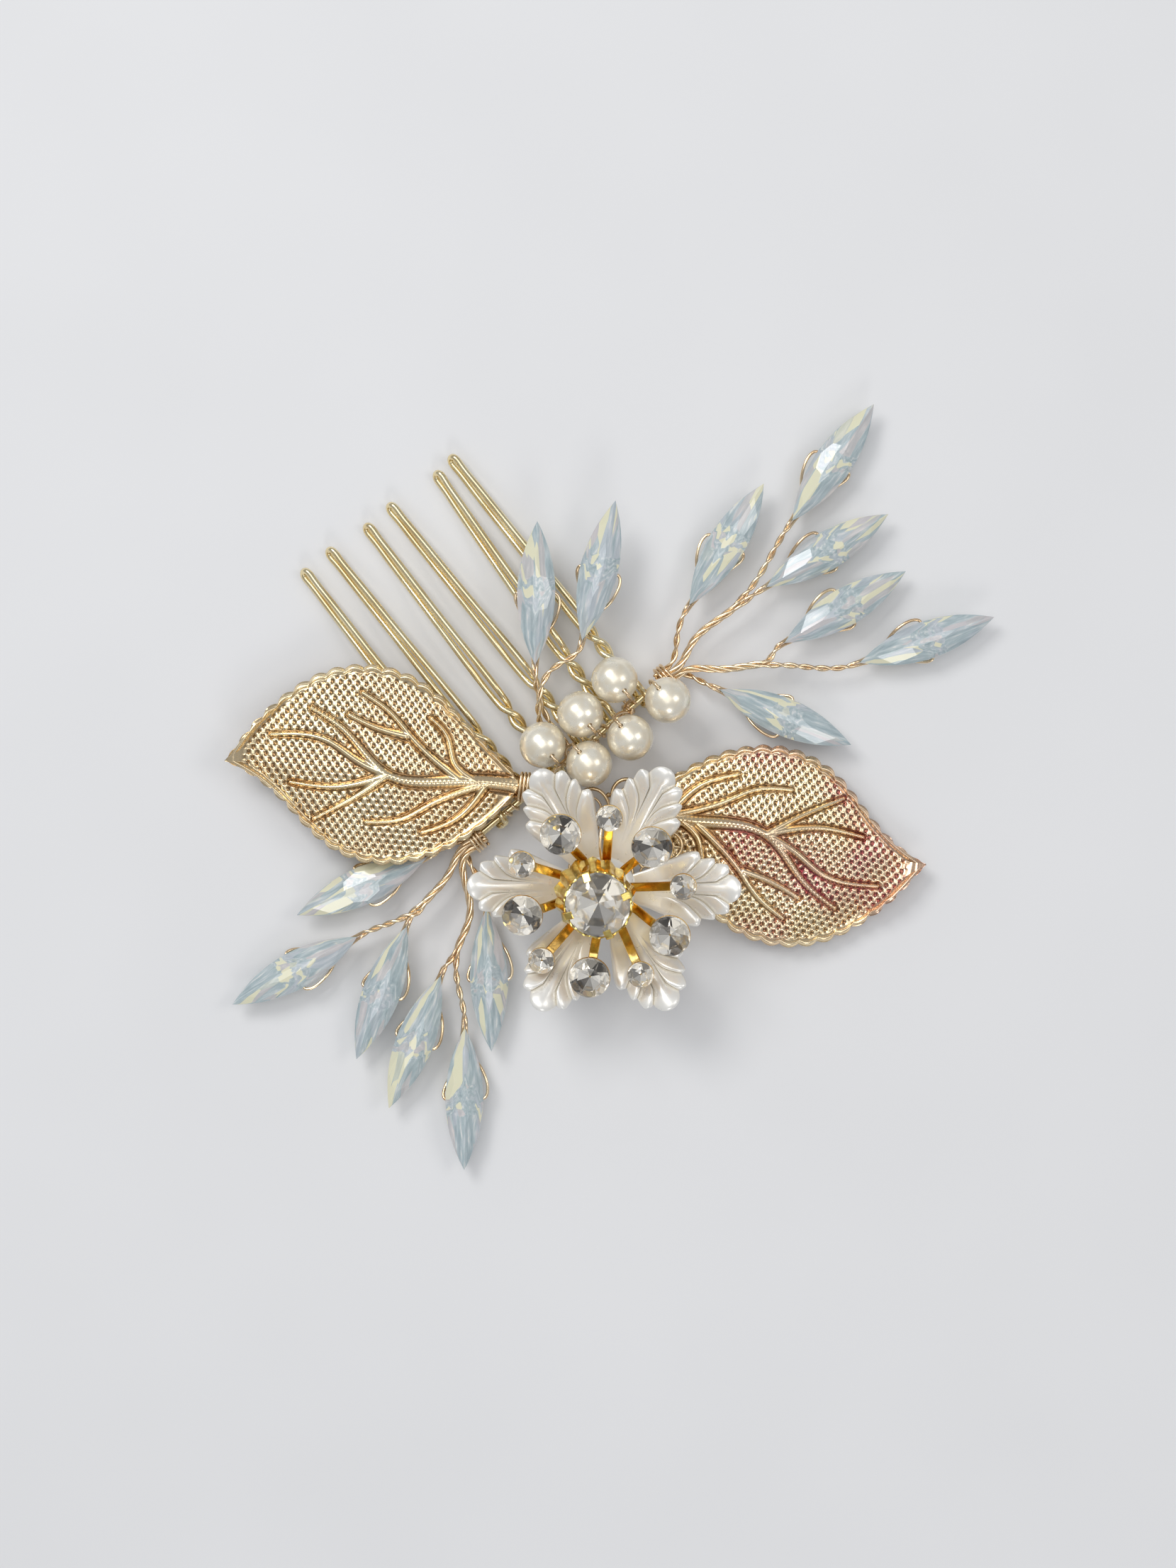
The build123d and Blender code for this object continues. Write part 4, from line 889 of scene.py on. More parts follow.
leaf = {"length": 30.75, "wide": 11.4, "narrow": 9.5, "neck": 2.3, "neckLength": 2.4, "thickness": 0.30,
        "arch": 1.5, "archSooner": 1.05, "tipDrop": 0.9, "tipLift": 6, "liftFrom": 0.9, "camber": 6.0,
        "scallops": 19, "scallopDepth": 0.40, "scallopPower": 0.8, "rimRise": 0.34, "rimAt": 0.40,
        "rimHalf": 0.24, "ruffle": 0.20, "flare": 0.45, "waviness": 0.12, "waves": (0.55, 0.5),
        "veinRise": 0.34, "veinGroove": 0.18, "veinHalf": (0.28, 0.17), "ribHalf": (0.52, 0.34, 0.18),
        "backRelief": 0.5, "dotRise": 0.09, "dotAlong": 0.90, "dotAcross": 1.16, "dotCut": (-0.62, 0.34),
        "rows": 286, "rowCrowding": 0.21, "columns": 164, "columnPower": 1.12, "tipPull": 0.45,
        # where relief fades in: shares of the half width, mm from the edge or the neck, vein widths
        "cutFrom": (0.80, 1.0), "ruffleFrom": (0.84, 1.0), "rimNeck": (-1.0, 2.5), "ruffleNeck": (0.5, 3.0),
        "netVein": (2.0, 2.9), "netEdge": (0.75, 1.15), "netNeck": (1.5, 3.0), "flareFrom": (0.80, 1.0),
        "ridgeWidth": 1.05, "grooveAt": 1.9, "grooveWidth": 0.50,
        # edges and veins: share of the length, share of the half width; the middle rib comes first
        "narrowEdge": ((0.078, 0.41), (0.25, 0.83), (0.44, 1.0), (0.62, 0.86), (0.76, 0.50), (0.89, 0.17)),
        "wideEdge": ((0.16, 0.48), (0.36, 0.90), (0.535, 1.0), (0.685, 0.91), (0.82, 0.66), (0.925, 0.33)),
        "veins": (((-0.06, 0.0), (0.20, 0.0), (0.44, 0.0), (0.53, -0.19), (0.60, -0.37), (0.72, -0.55)),
                  ((0.13, 0.0), (0.22, -0.17), (0.25, -0.39), (0.31, -0.55)),
                  ((0.19, 0.0), (0.37, -0.36), (0.45, -0.57), (0.55, -0.73)),
                  ((0.39, -0.37), (0.49, -0.42), (0.59, -0.52)),
                  ((0.44, 0.0), (0.55, -0.11), (0.65, -0.26), (0.85, -0.28)),
                  ((0.44, 0.0), (0.61, 0.18), (0.77, 0.17)),
                  ((0.44, 0.0), (0.52, 0.21), (0.68, 0.55)),
                  ((0.12, 0.03), (0.29, 0.29), (0.38, 0.47), (0.50, 0.54)),
                  ((0.11, 0.05), (0.19, 0.40), (0.31, 0.60)))}
leafPlaces = {"left": ((6.2, -1.3, 2.25), -45.0), "right": ((-1.9, 8.9, 0.60), 129.4)}  # neck, heading
wrap = {"half": 1.36, "above": 0.68, "below": 0.46, "air": 0.05, "start": -0.2, "turns": 3.25}


def leafHeight(share):  # an arch less a steady drop, with a small lift at the very tip
    rise = np.sin(math.pi * np.clip(share * leaf["archSooner"], -0.2, 1))
    return (leaf["arch"] * rise - leaf["tipDrop"] * share
            + np.maximum(0, share - leaf["liftFrom"]) * leaf["tipLift"])


def leafEdge(side):
    # one side's edge: its line, its heading, and the depth cut between scallops by a sharpened sine
    shares, half = (leaf["narrowEdge"], leaf["narrow"]) if side > 0 else (leaf["wideEdge"], leaf["wide"])
    spots = [(0, leaf["neck"] / 2)] + [(leaf["length"] * a, half * b) for a, b in shares]
    line = curveThrough(spots + [(leaf["length"], 0.0)], 700)
    run = np.linspace(0, 1, len(line))
    bulge = np.abs(np.sin(math.pi * leaf["scallops"] * run)) ** leaf["scallopPower"]
    return line, headings(line), leaf["scallopDepth"] * (1 - bulge)


def veinDistance(x, y):
    # distance to the nearest vein's middle, over that vein's half width there
    best = np.full(x.shape, 9.0)
    for way in leaf["veins"]:
        half = leaf["narrow"] if sum(out for _, out in way) > 0 else leaf["wide"]
        line = curveThrough([(leaf["length"] * a, half * b) for a, b in way], 60)
        halves = leaf["ribHalf"] if way is leaf["veins"][0] else leaf["veinHalf"]
        width = np.interp(np.linspace(0, 1, len(line)), np.linspace(0, 1, len(halves)), halves)
        apart = np.hypot(x[..., None] - line[:, 0], y[..., None] - line[:, 1])
        near = apart.argmin(axis=-1)
        best = np.minimum(best, np.take_along_axis(apart, near[..., None], -1)[..., 0] / width[near])
    return best


def leafShape():
    # rows run along the leaf, closer near its tip, and columns from the broad edge over the rib
    # to the other; the relief is a bell round each raised line, a net of cosine dots between
    length, columns = leaf["length"], leaf["columns"]
    share = np.linspace(0, 1, leaf["rows"])
    along = -leaf["neckLength"] + (length + leaf["neckLength"]) * (
        share + leaf["rowCrowding"] * share * (1 - share))
    v = np.linspace(-1, 1, columns)
    v = np.sign(v) * (1 - (1 - np.abs(v)) ** leaf["columnPower"])
    x = np.repeat(along[:, None], columns, 1)
    y, edgeGap, ruffle = np.empty_like(x), np.empty_like(x), np.empty_like(x)
    neck = along < 0
    for side in (-1, 1):
        line, way, notch = leafEdge(side)
        half, deep, outX, outY = (
            np.where(neck, atNeck, np.interp(along, line[:, 0], values))[:, None] for atNeck, values in
            ((leaf["neck"] / 2, line[:, 1]), (0, notch), (0, -way[:, 1]), (1, way[:, 0])))
        half = np.maximum(half, 0.10)
        part = v * side > 0
        reach = np.abs(v[part])[None, :]
        hold = ease(*leaf["cutFrom"], reach) * deep
        x[:, part] -= hold * outX
        y[:, part] = side * (reach * half - hold * outY)
        edgeGap[:, part] = (1 - reach) * half * np.maximum(0.35, outY)
        ruffle[:, part] = ease(*leaf["ruffleFrom"], reach) * (0.5 - deep / leaf["scallopDepth"])
    ribs = veinDistance(x, y)
    tipGap = np.minimum(edgeGap, (length - x) * leaf["tipPull"])
    rim = np.exp(-((tipGap - leaf["rimAt"]) / leaf["rimHalf"]) ** 2) * ease(*leaf["rimNeck"], x)
    ridge = np.exp(-(ribs / leaf["ridgeWidth"]) ** 2)
    groove = np.exp(-((ribs - leaf["grooveAt"]) / leaf["grooveWidth"]) ** 2) * (1 - rim)
    field = ease(*leaf["netVein"], ribs) * ease(*leaf["netEdge"], tipGap) * ease(*leaf["netNeck"], x)
    wave = np.cos(2 * math.pi * x / leaf["dotAlong"]) * np.cos(2 * math.pi * y / leaf["dotAcross"])
    dots = (ease(*leaf["dotCut"], wave) * 2 - 1) * field
    z = (leafHeight(x / length) - np.abs(y) * math.tan(math.radians(leaf["camber"])) + leaf["thickness"] / 2
         + leaf["waviness"] * np.sin(x * leaf["waves"][0] + np.abs(y) * leaf["waves"][1]) * field
         + leaf["flare"] * ease(*leaf["flareFrom"], x / length) * np.abs(y)
         + leaf["ruffle"] * ruffle * ease(*leaf["ruffleNeck"], x))
    raised = leaf["rimRise"] * rim + leaf["veinRise"] * ridge
    top = z + raised - leaf["veinGroove"] * groove + leaf["dotRise"] * dots
    low = z - leaf["thickness"] + leaf["backRelief"] * raised
    # lift and the dots mark where the leaf's colour is painted pale as highlight or dark as shade
    lift = np.clip(np.maximum(rim, ridge) - 0.9 * groove, -1, 1)
    marks = {"lift": lift, "net": dots, "along": x / length}
    return (slab(np.stack([x, y, top], -1), np.stack([x, y, low], -1)),
            {name: np.tile(values.ravel(), 2) for name, values in marks.items()})


def leafWrapPath(place, heading):
    # turns round the neck, flat across its top and close under it, eight points to a turn
    half, above, below = wrap["half"], wrap["above"], wrap["below"]
    shape = ((half, -below * 0.5), (half * 0.98, above * 0.6), (half * 0.6, above), (-half * 0.6, above),
             (-half * 0.98, above * 0.6), (-half, -below * 0.5), (-half * 0.6, -below - wrap["air"]),
             (half * 0.6, -below - wrap["air"]))
    pitch, count = craft["wire"] + wrap["air"], len(shape)
    rows = [(wrap["start"] - pitch * step / count, *shape[step % count])
            for step in range(int(wrap["turns"] * count))]
    return placed(curveThrough(rows, 300), place, turning("z", heading))


leafOutline, leafMarks = leafShape()
for side, (place, heading) in leafPlaces.items():
    addPiece(titled("leaf", side), moved(leafOutline, place, turning("z", heading)),
             leafGold if side == "left" else leafBlush, "comb", ["leaf_" + side],
             attributes=leafMarks)
addWire("leafBinding", merged([craftTube(leafWrapPath(*spot), 8) for spot in leafPlaces.values()]),
        "leaf_binding_wire")
print("leaves made")


# flower: six shell-shaped petals on a hub, a post that leans, and an openwork rosette behind

flower = {"x": 6.12, "y": 12.74, "turn": -100.2, "floor": 2.6, "rise": 3.95, "risePower": 1.6,
          "radius": 14.0, "lobes": 3, "tip": 14.2, "tipFall": 4.3, "fallPower": 1.1, "notch": 1.05,
          "open": 24.0, "hubOpen": 27.5, "hubOpenTo": 0.45, "base": 0.36, "rib": 0.60, "ribPower": 1.15,
          "lobeRound": 0.97, "settlePower": 1.5, "sideFall": 0.20, "edgeLift": 0.20, "inner": 2.2,
          "rows": 74, "columns": 99, "rowPower": 1.25, "fan": (0, 0.283, 0.54, 0.71, 1.0),
          "midRib": 0.155, "midRibTo": 0.86, "bendAt": (0, 0.60, 0.73, 0.86, 1),
          "bend": (3.2, 3.0, 2.5, 1.55, 1.0),
          # shares of u or v over which relief fades in; where the edge starts to thin and for how far
          "ribFrom": (0.25, 0.85), "sideRibFrom": (0.45, 0.88), "fallFrom": (0.2, 0.9),
          "edge": (0.88, 0.122), "sideEdge": (0.94, 0.061), "thinnest": 0.004,
          "swing": (0.0, -1.5, 1.0, 0.0, 0.5, 2.5),
          "hub": 3.4, "hubRise": 0.87, "post": 0.6, "postRadius": 1.5, "lean": 13.0, "leanHeading": 24.4,
          "tie": ((0.55, 6.30, 2.6), (1.1, 6.9, 3.6), (2.3, 7.8, 4.45), (3.7, 9.2, 4.7), (4.4, 10.3, 4.3))}
rosette = {"x": 1.5, "y": 10.0, "turn": -2.0, "top": 2.52, "sink": 0.16, "loops": 8, "rims": (2.75, 1.5),
           "rimWire": 0.17, "loop": (4.45, 1.95, 1.50, 0.16), "loopWire": 0.20, "curl": (4.6, 0.95, 0.62),
           "curlWire": 0.13, "bars": ((1.4, 3.7, 6, 0.15), (5.5, 6.3, 4, 0.14)), "bead": 4.9}


def petalHeight(reach):  # underside of the petals: a power curve rising from the hub
    return flower["floor"] + flower["rise"] * (reach / flower["radius"]) ** flower["risePower"]


def petalShape(turn):
    # u runs from the hub to the edge and v over seven lobes; the middle rib keeps its width and
    # the side ribs bend in towards it, so each lobe's valley runs down to the middle rib
    u = 1 - (1 - np.linspace(0, 1, flower["rows"])[:, None]) ** flower["rowPower"]
    lobes = flower["lobes"] + 0.5
    lobe = np.linspace(-1, 1, flower["columns"])[None, :] * lobes
    number = np.round(lobe)
    cross = np.sin(math.pi * (lobe - number))  # -1 to 1 over each lobe
    v = (number + cross / 2) / lobes
    mid, valley, first = np.abs(v), 0.5 / lobes, flower["fan"][1]
    fan = np.interp(mid, (0, valley, 3 * valley, 5 * valley, 1), flower["fan"])
    middle = np.interp(u, (0, flower["midRibTo"], 1), (flower["midRib"], flower["midRib"], first))
    out = np.clip((fan - first) / (1 - first), 0, 1) ** np.interp(u, flower["bendAt"], flower["bend"])
    opened = np.where(mid < valley, mid / valley * middle, middle + (1 - middle) * out)
    nearHub = 1 - ease(0.0, flower["hubOpenTo"], u)
    widen = flower["open"] + (flower["hubOpen"] - flower["open"]) * nearHub
    angle = np.radians(turn + np.sign(v) * widen * opened)
    scoop = 1 - np.sqrt(1 - (flower["lobeRound"] * cross) ** 2)  # each lobe's round end
    settled = np.abs(number + 0.5 * cross * np.abs(cross) ** flower["settlePower"]) / lobes
    end = flower["tip"] - flower["tipFall"] * settled ** flower["fallPower"] - flower["notch"] * scoop
    reach = flower["inner"] + (end - flower["inner"]) * u
    crown = np.sqrt(np.clip(1 - (0.995 * cross) ** 2, 0, 1)) ** flower["ribPower"]
    grow = np.where(mid < valley, ease(*flower["ribFrom"], u), ease(*flower["sideRibFrom"], u))
    edge = 1  # the sheet thins to its edge by a quarter circle, along u and along v
    for way, (start, run) in ((u, flower["edge"]), (mid, flower["sideEdge"])):
        beyond = np.maximum(0, way - start) / run
        edge = edge * np.sqrt(np.clip(1 - beyond ** 2, flower["thinnest"], 1))
    level = petalHeight(reach) - flower["sideFall"] * mid ** 2 * ease(*flower["fallFrom"], u)
    level = level + (1 - edge) * flower["edgeLift"]
    thick = (flower["base"] + flower["rib"] * crown * grow) * edge
    low, top = (np.stack([np.cos(angle) * reach, np.sin(angle) * reach, height], axis=-1)
                for height in (level, level + thick))
    # painted shade: the deeper a point lies in a lobe's valley, the darker it is painted
    groove = (1 - crown) ** 2 * grow + 0 * reach
    return slab(top, low), groove.ravel()


def rounded(outline, radius):
    # three points for each inner corner of an outline, the middle one 0.29 of the radius in from it
    p = np.asarray(outline, float)
    before, after = unitRows(p[:-2] - p[1:-1]), unitRows(p[2:] - p[1:-1])
    bent = np.stack([p[1:-1] + before * radius, p[1:-1] + (before + after) * radius * 0.29,
                     p[1:-1] + after * radius], axis=1).reshape(-1, p.shape[1])
    return np.concatenate([p[:1], bent, p[-1:]])


hubTop = petalHeight(flower["hub"]) + flower["hubRise"]
flowerLean = (turning("z", flower["leanHeading"]) @ turning("y", flower["lean"])
              @ turning("z", -flower["leanHeading"]))
petals = [petalShape(flower["turn"] + 60 * index + swing) for index, swing in enumerate(flower["swing"])]
hub = turned(rounded(((nearAxis, flower["floor"]), (flower["hub"] - 0.3, flower["floor"]),
                      (flower["hub"], flower["floor"] + 0.4), (flower["hub"] - 0.1, hubTop - 0.45),
                      (flower["hub"] - 0.8, hubTop - 0.05), (nearAxis, hubTop)), 0.12), 48)
radius, top = flower["postRadius"], flower["post"]
post = turned(((nearAxis, -0.9), (radius, -0.9), (radius, top - 0.02), (radius - 0.08, top),
               (nearAxis, top)), 32)
post = moved(post, (0, 0, hubTop), flowerLean)
shape = merged([petal for petal, groove in petals] + [hub, post])
# painted shade in the petals' valleys, none on the hub and post
shadedGrooves = [np.tile(groove, 2) for petal, groove in petals] + [np.zeros(len(hub[0]) + len(post[0]))]
addPiece("flowerPetals", moved(shape, (flower["x"], flower["y"], 0)), petalShell, "comb",
         ["flower_petals"], smooth=60, attributes={"groove": np.concatenate(shadedGrooves)})


def rosetteShape():
    # two rim rings, then eight times an open loop, a curl, two bars and a bead
    turn, level = evenTurns(60), rosette["top"] - rosette["sink"]

    def oval(centre, long, wide, swell=0.0):  # an ellipse, broader outwards
        return np.stack([centre + long * np.cos(turn), wide * np.sin(turn) * (1 + swell * np.cos(turn)),
                         np.full_like(turn, level)], axis=1)

    rims = [ringTube(oval(0, reach, reach), rosette["rimWire"]) for reach in rosette["rims"]]
    petal = [ringTube(oval(*rosette["loop"]), rosette["loopWire"]),
             ringTube(oval(*rosette["curl"]), rosette["curlWire"])]
    for start, end, count, radius in rosette["bars"]:
        petal.append(tube(np.linspace((start, 0, level), (end, 0, level), count), radius, 8))
    bead = turned(((nearAxis, -0.20), (0.18, -0.14), (0.27, 0), (0.18, 0.16), (nearAxis, 0.22)), 10)
    petal.append(spun(moved(bead, (rosette["bead"], 0, level - 0.02)), 180 / rosette["loops"]))
    return merged(rims + [spun(part, rosette["turn"] + 360 / rosette["loops"] * index)
                          for index in range(rosette["loops"]) for part in petal])


addPiece("backingRosette", moved(rosetteShape(), (rosette["x"], rosette["y"], 0)), leafGold,
         "comb", ["backing_rosette"])
addWire("flowerTie", craftTube(curveThrough(flower["tie"], 60)), "flower_tie_wire")
print("flower made")


# stamen: bent flat arms with a cup each, and a fluted basket in the middle

stamen = {"turn": -101.3, "arms": 10, "width": 0.95, "sheet": 0.28, "disc": 2.1, "largeRing": 8.05,
          "smallRing": 8.80, "ring": 3.9, "centre": 6.2, "wall": 0.08, "lip": 0.03, "seat": 0.02,
          "stoneGap": 0.13, "flutes": 14, "rimNotch": 0.12, "bellyShift": 0.8, "bellyHeading": -58.0,
          # heights, and how deep the fluting and how much of the shift there
          "flute": ((0.3, 1.5, 3.5, 5.0, 6.4), (0, 0.20, 0.42, 0.30, 0.12)),
          "belly": ((0.3, 2.0, 3.4, 5.0, 6.1), (0, 0.6, 1, 0.5, 0)),
          "claws": 4, "clawTurn": 70, "clawWidth": 0.80, "clawSheet": 0.22}
cuts = {"large": {"diameter": 4.2, "crown": 0.75, "girdle": 0.18, "pavilion": 1.25, "mains": 8},
        "small": {"diameter": 2.7, "crown": 0.50, "girdle": 0.14, "pavilion": 0.82, "mains": 6},
        "centre": {"diameter": 6.7, "crown": 1.15, "girdle": 0.25, "pavilion": 2.00, "mains": 8},
        "slope": 39.0, "starSlope": 24, "halfSteeper": 7, "mainLean": 0.3, "underLean": 5,
        "halfInset": 0.998, "starOut": 1.02}
stamenOrigin = placed([(0, 0, flower["post"])], (flower["x"], flower["y"], hubTop), flowerLean)[0]


def inStamen(shape):  # from the stamen's own frame, which leans on the flower
    return moved(shape, stamenOrigin, flowerLean)


def strip(profile, width, sheet):
    # a flat band along (distance, height) points, its long edges eased
    line = rounded(profile, 0.16)
    way = headings(line)
    out = np.stack([-way[:, 1], way[:, 0]], axis=1)[:, None, :]
    across = np.broadcast_to(np.array((-0.5, -0.42, 0.42, 0.5)) * width, (len(line), 4))
    half = (sheet / 2 - np.array((0.07, 0, 0, 0.07)))[None, :, None]
    top, under = line[:, None, :] + out * half, line[:, None, :] - out * half
    return slab(*(np.stack([face[..., 0], across, face[..., 1]], -1) for face in (top, under)))


def cupShape(kind):
    # a flat bottom, a wall that flares to the lip, and the same again inside
    cut = cuts[kind]
    rim = cut["diameter"] / 2 + stamen["lip"]
    seat, top = rim - stamen["wall"], cut["pavilion"] + 0.10
    knee, base = cut["pavilion"] - 0.15, cut["diameter"] * 0.27
    return turned(((nearAxis, 0.0), (base, 0.0), (rim, knee), (rim, top - 0.04), (rim - 0.02, top),
                   (seat + 0.02, top), (seat, top - 0.03), (seat, knee + 0.1), (base * 0.9, 0.18),
                   (nearAxis, 0.18)), 40)


def basketShape():
    # outside wall up, inside wall down; the fluting swells towards the belly, the rim is notched
    cut, flutes = cuts["centre"], stamen["flutes"]
    top, seat = stamen["centre"] + cut["girdle"], cut["diameter"] / 2 + stamen["seat"]
    outline = np.array(((1.9, 0.14), (2.2, 0.55), (3.2, 2.1), (3.95, 3.2), (4.0, 3.75), (3.72, 4.6),
                        (3.55, 5.5), (3.56, top - 0.1), (3.50, top + 0.02), (seat, top), (seat, top - 0.3),
                        (3.30, 5.2), (3.45, 4.4), (3.5, 3.6), (2.9, 2.4), (1.8, 0.7), (1.2, 0.4)))
    out, up = outline[:, :1], outline[:, 1:]
    turn = evenTurns(flutes * 10)
    wave = np.abs((turn * flutes / (2 * math.pi)) % 1 - 0.5) * 2 - 0.5  # zigzag, -0.5 to 0.5
    swell = np.interp(up, *stamen["flute"])
    rim = np.interp(np.arange(len(outline))[:, None], (5, 7, 8, 9, 11), (0, 0.5, 1, 0.7, 0))
    rim = rim * stamen["rimNotch"]
    shift = np.interp(up, *stamen["belly"]) * stamen["bellyShift"]
    away, reach = math.radians(stamen["bellyHeading"]), out + swell * wave
    points = np.stack([reach * np.cos(turn) + shift * math.cos(away),
                       reach * np.sin(turn) + shift * math.sin(away), up + rim * (wave * 2 - 0.5)], axis=-1)
    return closedGrid(points.reshape(-1, 3), len(outline), len(turn))


def ringPlace(index):  # how far out a cup stands, its heading, and its kind; every other one is large
    kind = "small" if index % 2 else "large"
    return stamen[kind + "Ring"], stamen["turn"] + 360 / stamen["arms"] * index, kind


def armShape(index):
    # a flat band out from the hub and up, level under its cup
    reach, heading, kind = ringPlace(index)
    wide, under, sheet = cuts[kind]["diameter"], stamen["ring"] - stamen["sheet"], stamen["sheet"]
    spots = np.array(((1.2, 0.0), (2.4, 0.25), (3.9, 1.25), (reach - wide * 0.5, under - 0.25),
                      (reach - wide * 0.2, under), (reach + wide * 0.22, under))) + (0, sheet / 2)
    cup = moved(cupShape(kind), (reach, 0, stamen["ring"]))
    return spun(merged([strip(spots, stamen["width"], sheet), cup]), heading)


def clawShape():
    # a flat tab up the basket, bent in over the girdle and down onto the crown
    seat, top = cuts["centre"]["diameter"] / 2, stamen["centre"] + cuts["centre"]["girdle"]
    spots = ((3.78, 4.6), (3.70, 5.6), (3.66, top + 0.18), (seat - 0.15, top + 0.42),
             (seat - 0.62, top + 0.66))
    return strip(spots, stamen["clawWidth"], stamen["clawSheet"])


radius, top = stamen["disc"], stamen["sheet"]
disc = turned(((nearAxis, 0), (radius - 0.1, 0), (radius, 0.06), (radius, top - 0.06),
               (radius - 0.1, top), (nearAxis, top)), 40)
arms = merged([disc] + [armShape(index) for index in range(stamen["arms"])])
addPiece("stamenArms", inStamen(arms), stamenGold, "comb", ["stamen_frame"], smooth=35)
claws = [spun(clawShape(), stamen["clawTurn"] + 360 / stamen["claws"] * index)
         for index in range(stamen["claws"])]
addPiece("stamenBasket", inStamen(merged([basketShape()] + claws)), cupGold, "comb", [],
         smooth=25)


def stoneShape(kind):
    # brilliant cut: table, mains, stars and halves above the girdle, mains and halves below;
    # with it, which faces are foiled and the painted reflection shade of each
    cut = cuts[kind]
    radius, mains, high = cut["diameter"] / 2, cut["mains"], cut["girdle"] + cut["crown"]
    turn = evenTurns(mains * 4)
    blank = prism(radius * np.stack([np.cos(turn), np.sin(turn)], axis=1), -cut["pavilion"], high)
    slope, inset = cuts["slope"], radius * cuts["halfInset"]
    under = 180 - math.degrees(math.atan(cut["pavilion"] / radius))
    table = (radius - cut["crown"] / math.tan(math.radians(slope))) * cuts["starOut"]
    planes = []
    for index in range(mains):
        heading = 360 / mains * index
        planes.append(facetPlane(heading, slope, radius, cut["girdle"]))
        planes.append(facetPlane(heading + 180 / mains, cuts["starSlope"], table, high))
        planes.append(facetPlane(heading, under - cuts["mainLean"], radius, 0.0))
        for half in (heading - 90 / mains, heading + 90 / mains):
            planes.append(facetPlane(half, slope + cuts["halfSteeper"], inset, cut["girdle"]))
            planes.append(facetPlane(half + 180 / mains, under - cuts["underLean"], inset, 0.0))
    points, faces = cutSolid(blank, planes)
    # painted reflections: one of eight fixed shades for each facet, by its wedge and its height
    centres = np.array([points[face].mean(axis=0) for face in faces])
    wedge = np.degrees(np.arctan2(centres[:, 1], centres[:, 0])) * mains / 180
    shine = (np.round(wedge) * 5 + np.round(centres[:, 2] * 4) * 3) % 8 / 7
    return points, faces, centres[:, 2] < -0.01, 0.08 + 0.92 * shine ** 0.9


def addStones(name, stones, node):
    # crown and girdle clear, the faces under the girdle foiled, each with its painted reflection shade
    shape = merged([stone[:2] for stone in stones])
    mesh = addPiece(name, shape, clearGlass, "comb", [node], smooth=0).data
    mesh.materials.append(foilWithPaintedGlints)
    foiled, shine = (np.concatenate([stone[part] for stone in stones]) for part in (2, 3))
    mesh.polygons.foreach_set("material_index", foiled.astype(np.int32))
    mesh.attributes.new("shine", "FLOAT", "FACE").data.foreach_set("value", shine.astype(np.float32))


def ringStone(index, shape):  # a stone just over its cup
    reach, heading, kind = ringPlace(index)
    lift = stamen["ring"] + cuts[kind]["pavilion"] + stamen["stoneGap"]
    return inStamen(spun(moved(shape, (reach, 0, lift)), heading))


largeStone, smallStone = stoneShape("large"), stoneShape("small")
for index in range(0, stamen["arms"], 2):
    number = index // 2 + 1
    addStones("largeCrystal%d" % number, [ringStone(index, largeStone)], "large_crystal_%d" % number)
addStones("smallCrystals", [ringStone(index, smallStone) for index in range(1, stamen["arms"], 2)],
          "small_crystals")
addStones("centreCrystal", [inStamen(moved(stoneShape("centre"), (0, 0, stamen["centre"])))],
          "centre_crystal")
print("stamen made")


# floor, light and camera

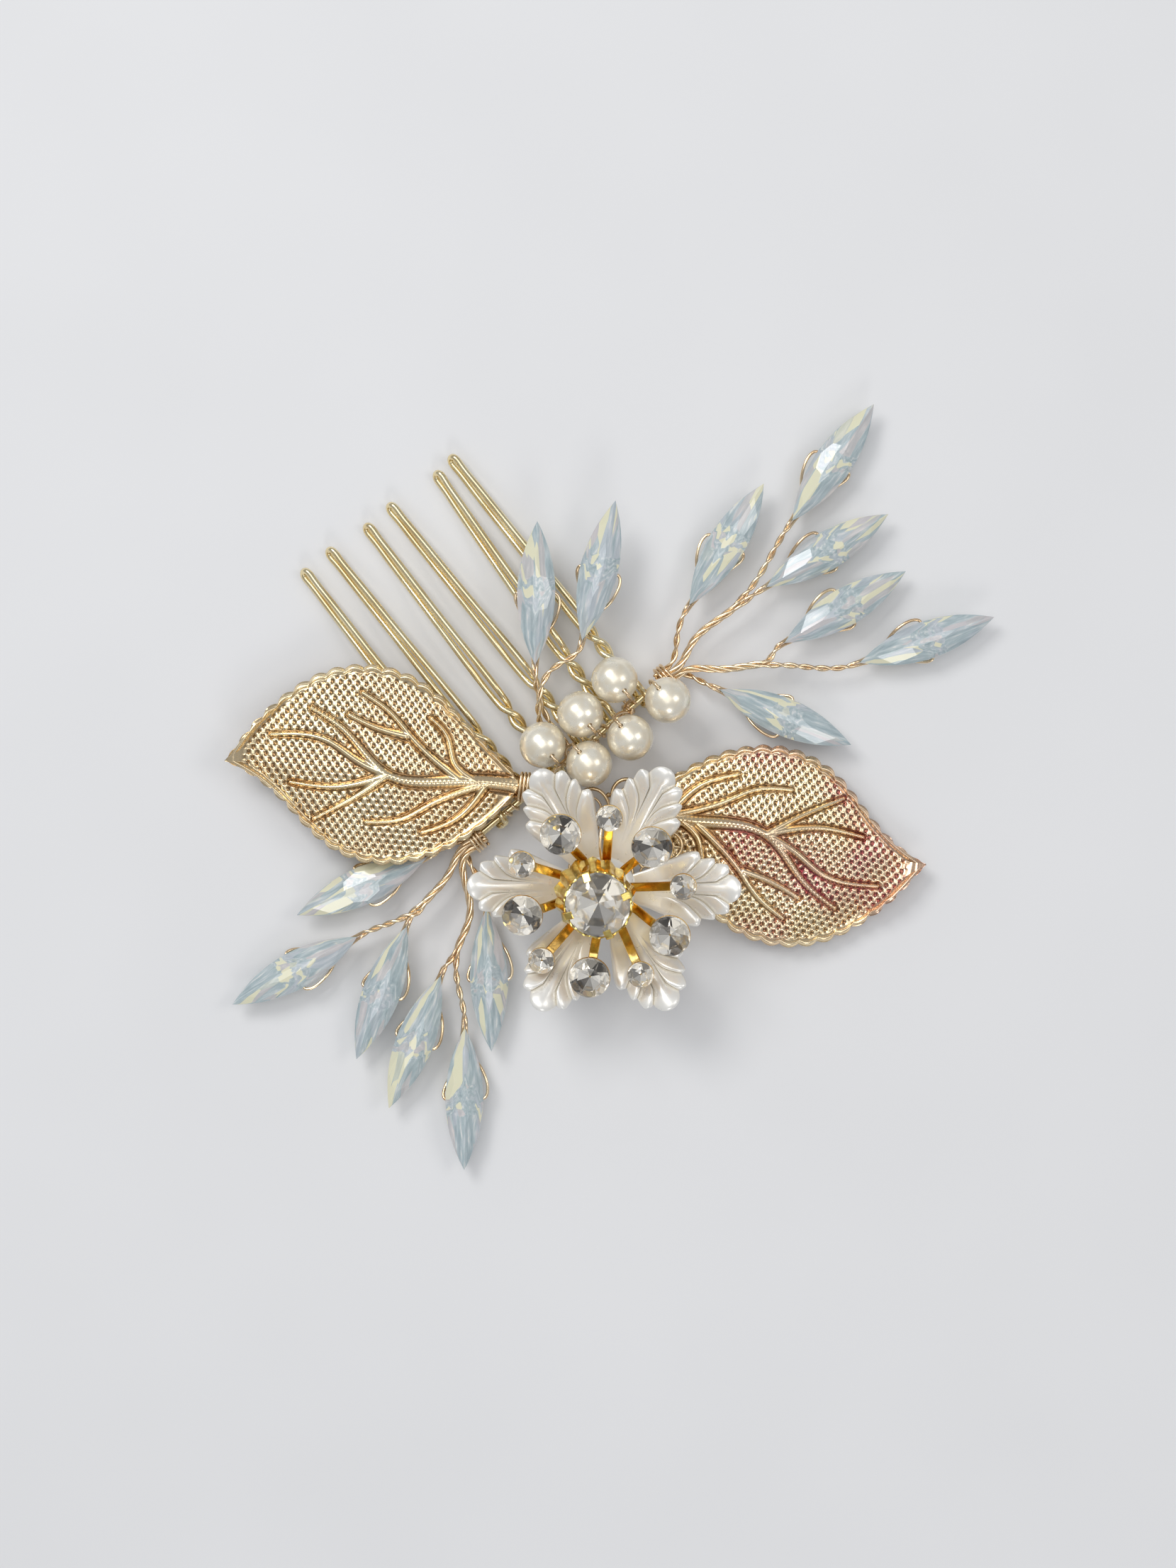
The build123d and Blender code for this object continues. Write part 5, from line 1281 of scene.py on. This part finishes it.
view = {"centre": (0.375, 3.292), "plane": 2.0, "distance": 350.0, "lens": 76.7, "sensor": 36.0,
        "right": (-0.766, 0.643, 0), "up": (-0.643, -0.766, 0)}
floor = {"half": 2.0, "gap": 0.05 * mm}  # in metres
room = {"colour": (0.9, 0.93, 1.0, 1), "strength": 0.38}
lamps = {"key": (-240, 280, 430, 230, 1.15, (1, 1, 1)),  # right, up, height, size, power, tint
         "fill": (340, 60, 400, 200, 0.35, (1.0, 0.97, 0.93)),
         "rim": (60, -420, 300, 150, 0.30, (1, 1, 1)),
         "top": (-40, 60, 640, 400, 0.80, (1, 1, 1))}
viewRight, viewUp = np.array(view["right"]), np.array(view["up"])


def addFloor():
    # one big square of plain paper, just under the comb's lowest point
    g = Graph("floorPaper")
    faint = g.cloud(30, 2.0)
    colour = g.blend(g.span(faint, 0.3, 0.7), (0.80, 0.80, 0.80), (0.78, 0.78, 0.78))
    paper = g.surface({"Base Color": colour, "Roughness": 0.8})
    half, level = floor["half"], cadLow[2] - floor["gap"]
    mesh = bpy.data.meshes.new("floor")
    mesh.from_pydata([(-half, -half, level), (half, -half, level), (half, half, level),
                      (-half, half, level)], [], [(0, 1, 2, 3)])
    mesh.materials.append(paper)
    linked("floor", mesh)


def stand(thing, side, up, place):  # puts a camera or a lamp at a place in mm, facing against side x up
    matrix = np.eye(4)
    matrix[:3] = np.stack([side, up, np.cross(side, up), np.asarray(place) * mm], axis=1)
    thing.matrix_world = Matrix(matrix)


def addCamera():
    # straight above the comb, turned so that its side and top are the view's right and up
    data = bpy.data.cameras.new("camera")
    data.lens, data.sensor_width = view["lens"], view["sensor"]
    camera = linked("camera", data)
    stand(camera, viewRight, viewUp, (*view["centre"], view["plane"] + view["distance"]))
    bpy.context.scene.camera = camera


def addLamp(name, right, up, height, size, power, tint):
    # a soft square lamp, placed along the view's right and up and facing the comb
    data = bpy.data.lights.new(name, "AREA")
    data.shape, data.size, data.energy, data.color = "SQUARE", size * mm, power, tint
    place = viewRight * right + viewUp * up + (0, 0, height)
    back = unitRows(place)
    side = unitRows(np.cross((0, 1, 0), back))
    stand(linked(name, data), side, np.cross(back, side), place)


def addRoom():  # an even pale light from all round
    world = bpy.data.worlds.new("room")
    world.use_nodes = True
    background = world.node_tree.nodes["Background"].inputs
    background["Color"].default_value = room["colour"]
    background["Strength"].default_value = room["strength"]
    bpy.context.scene.world = world


addFloor()
addCamera()
addRoom()
for name, lamp in lamps.items():
    addLamp(name, *lamp)
bpy.context.scene.view_settings.view_transform = "Standard"
print("stage made")
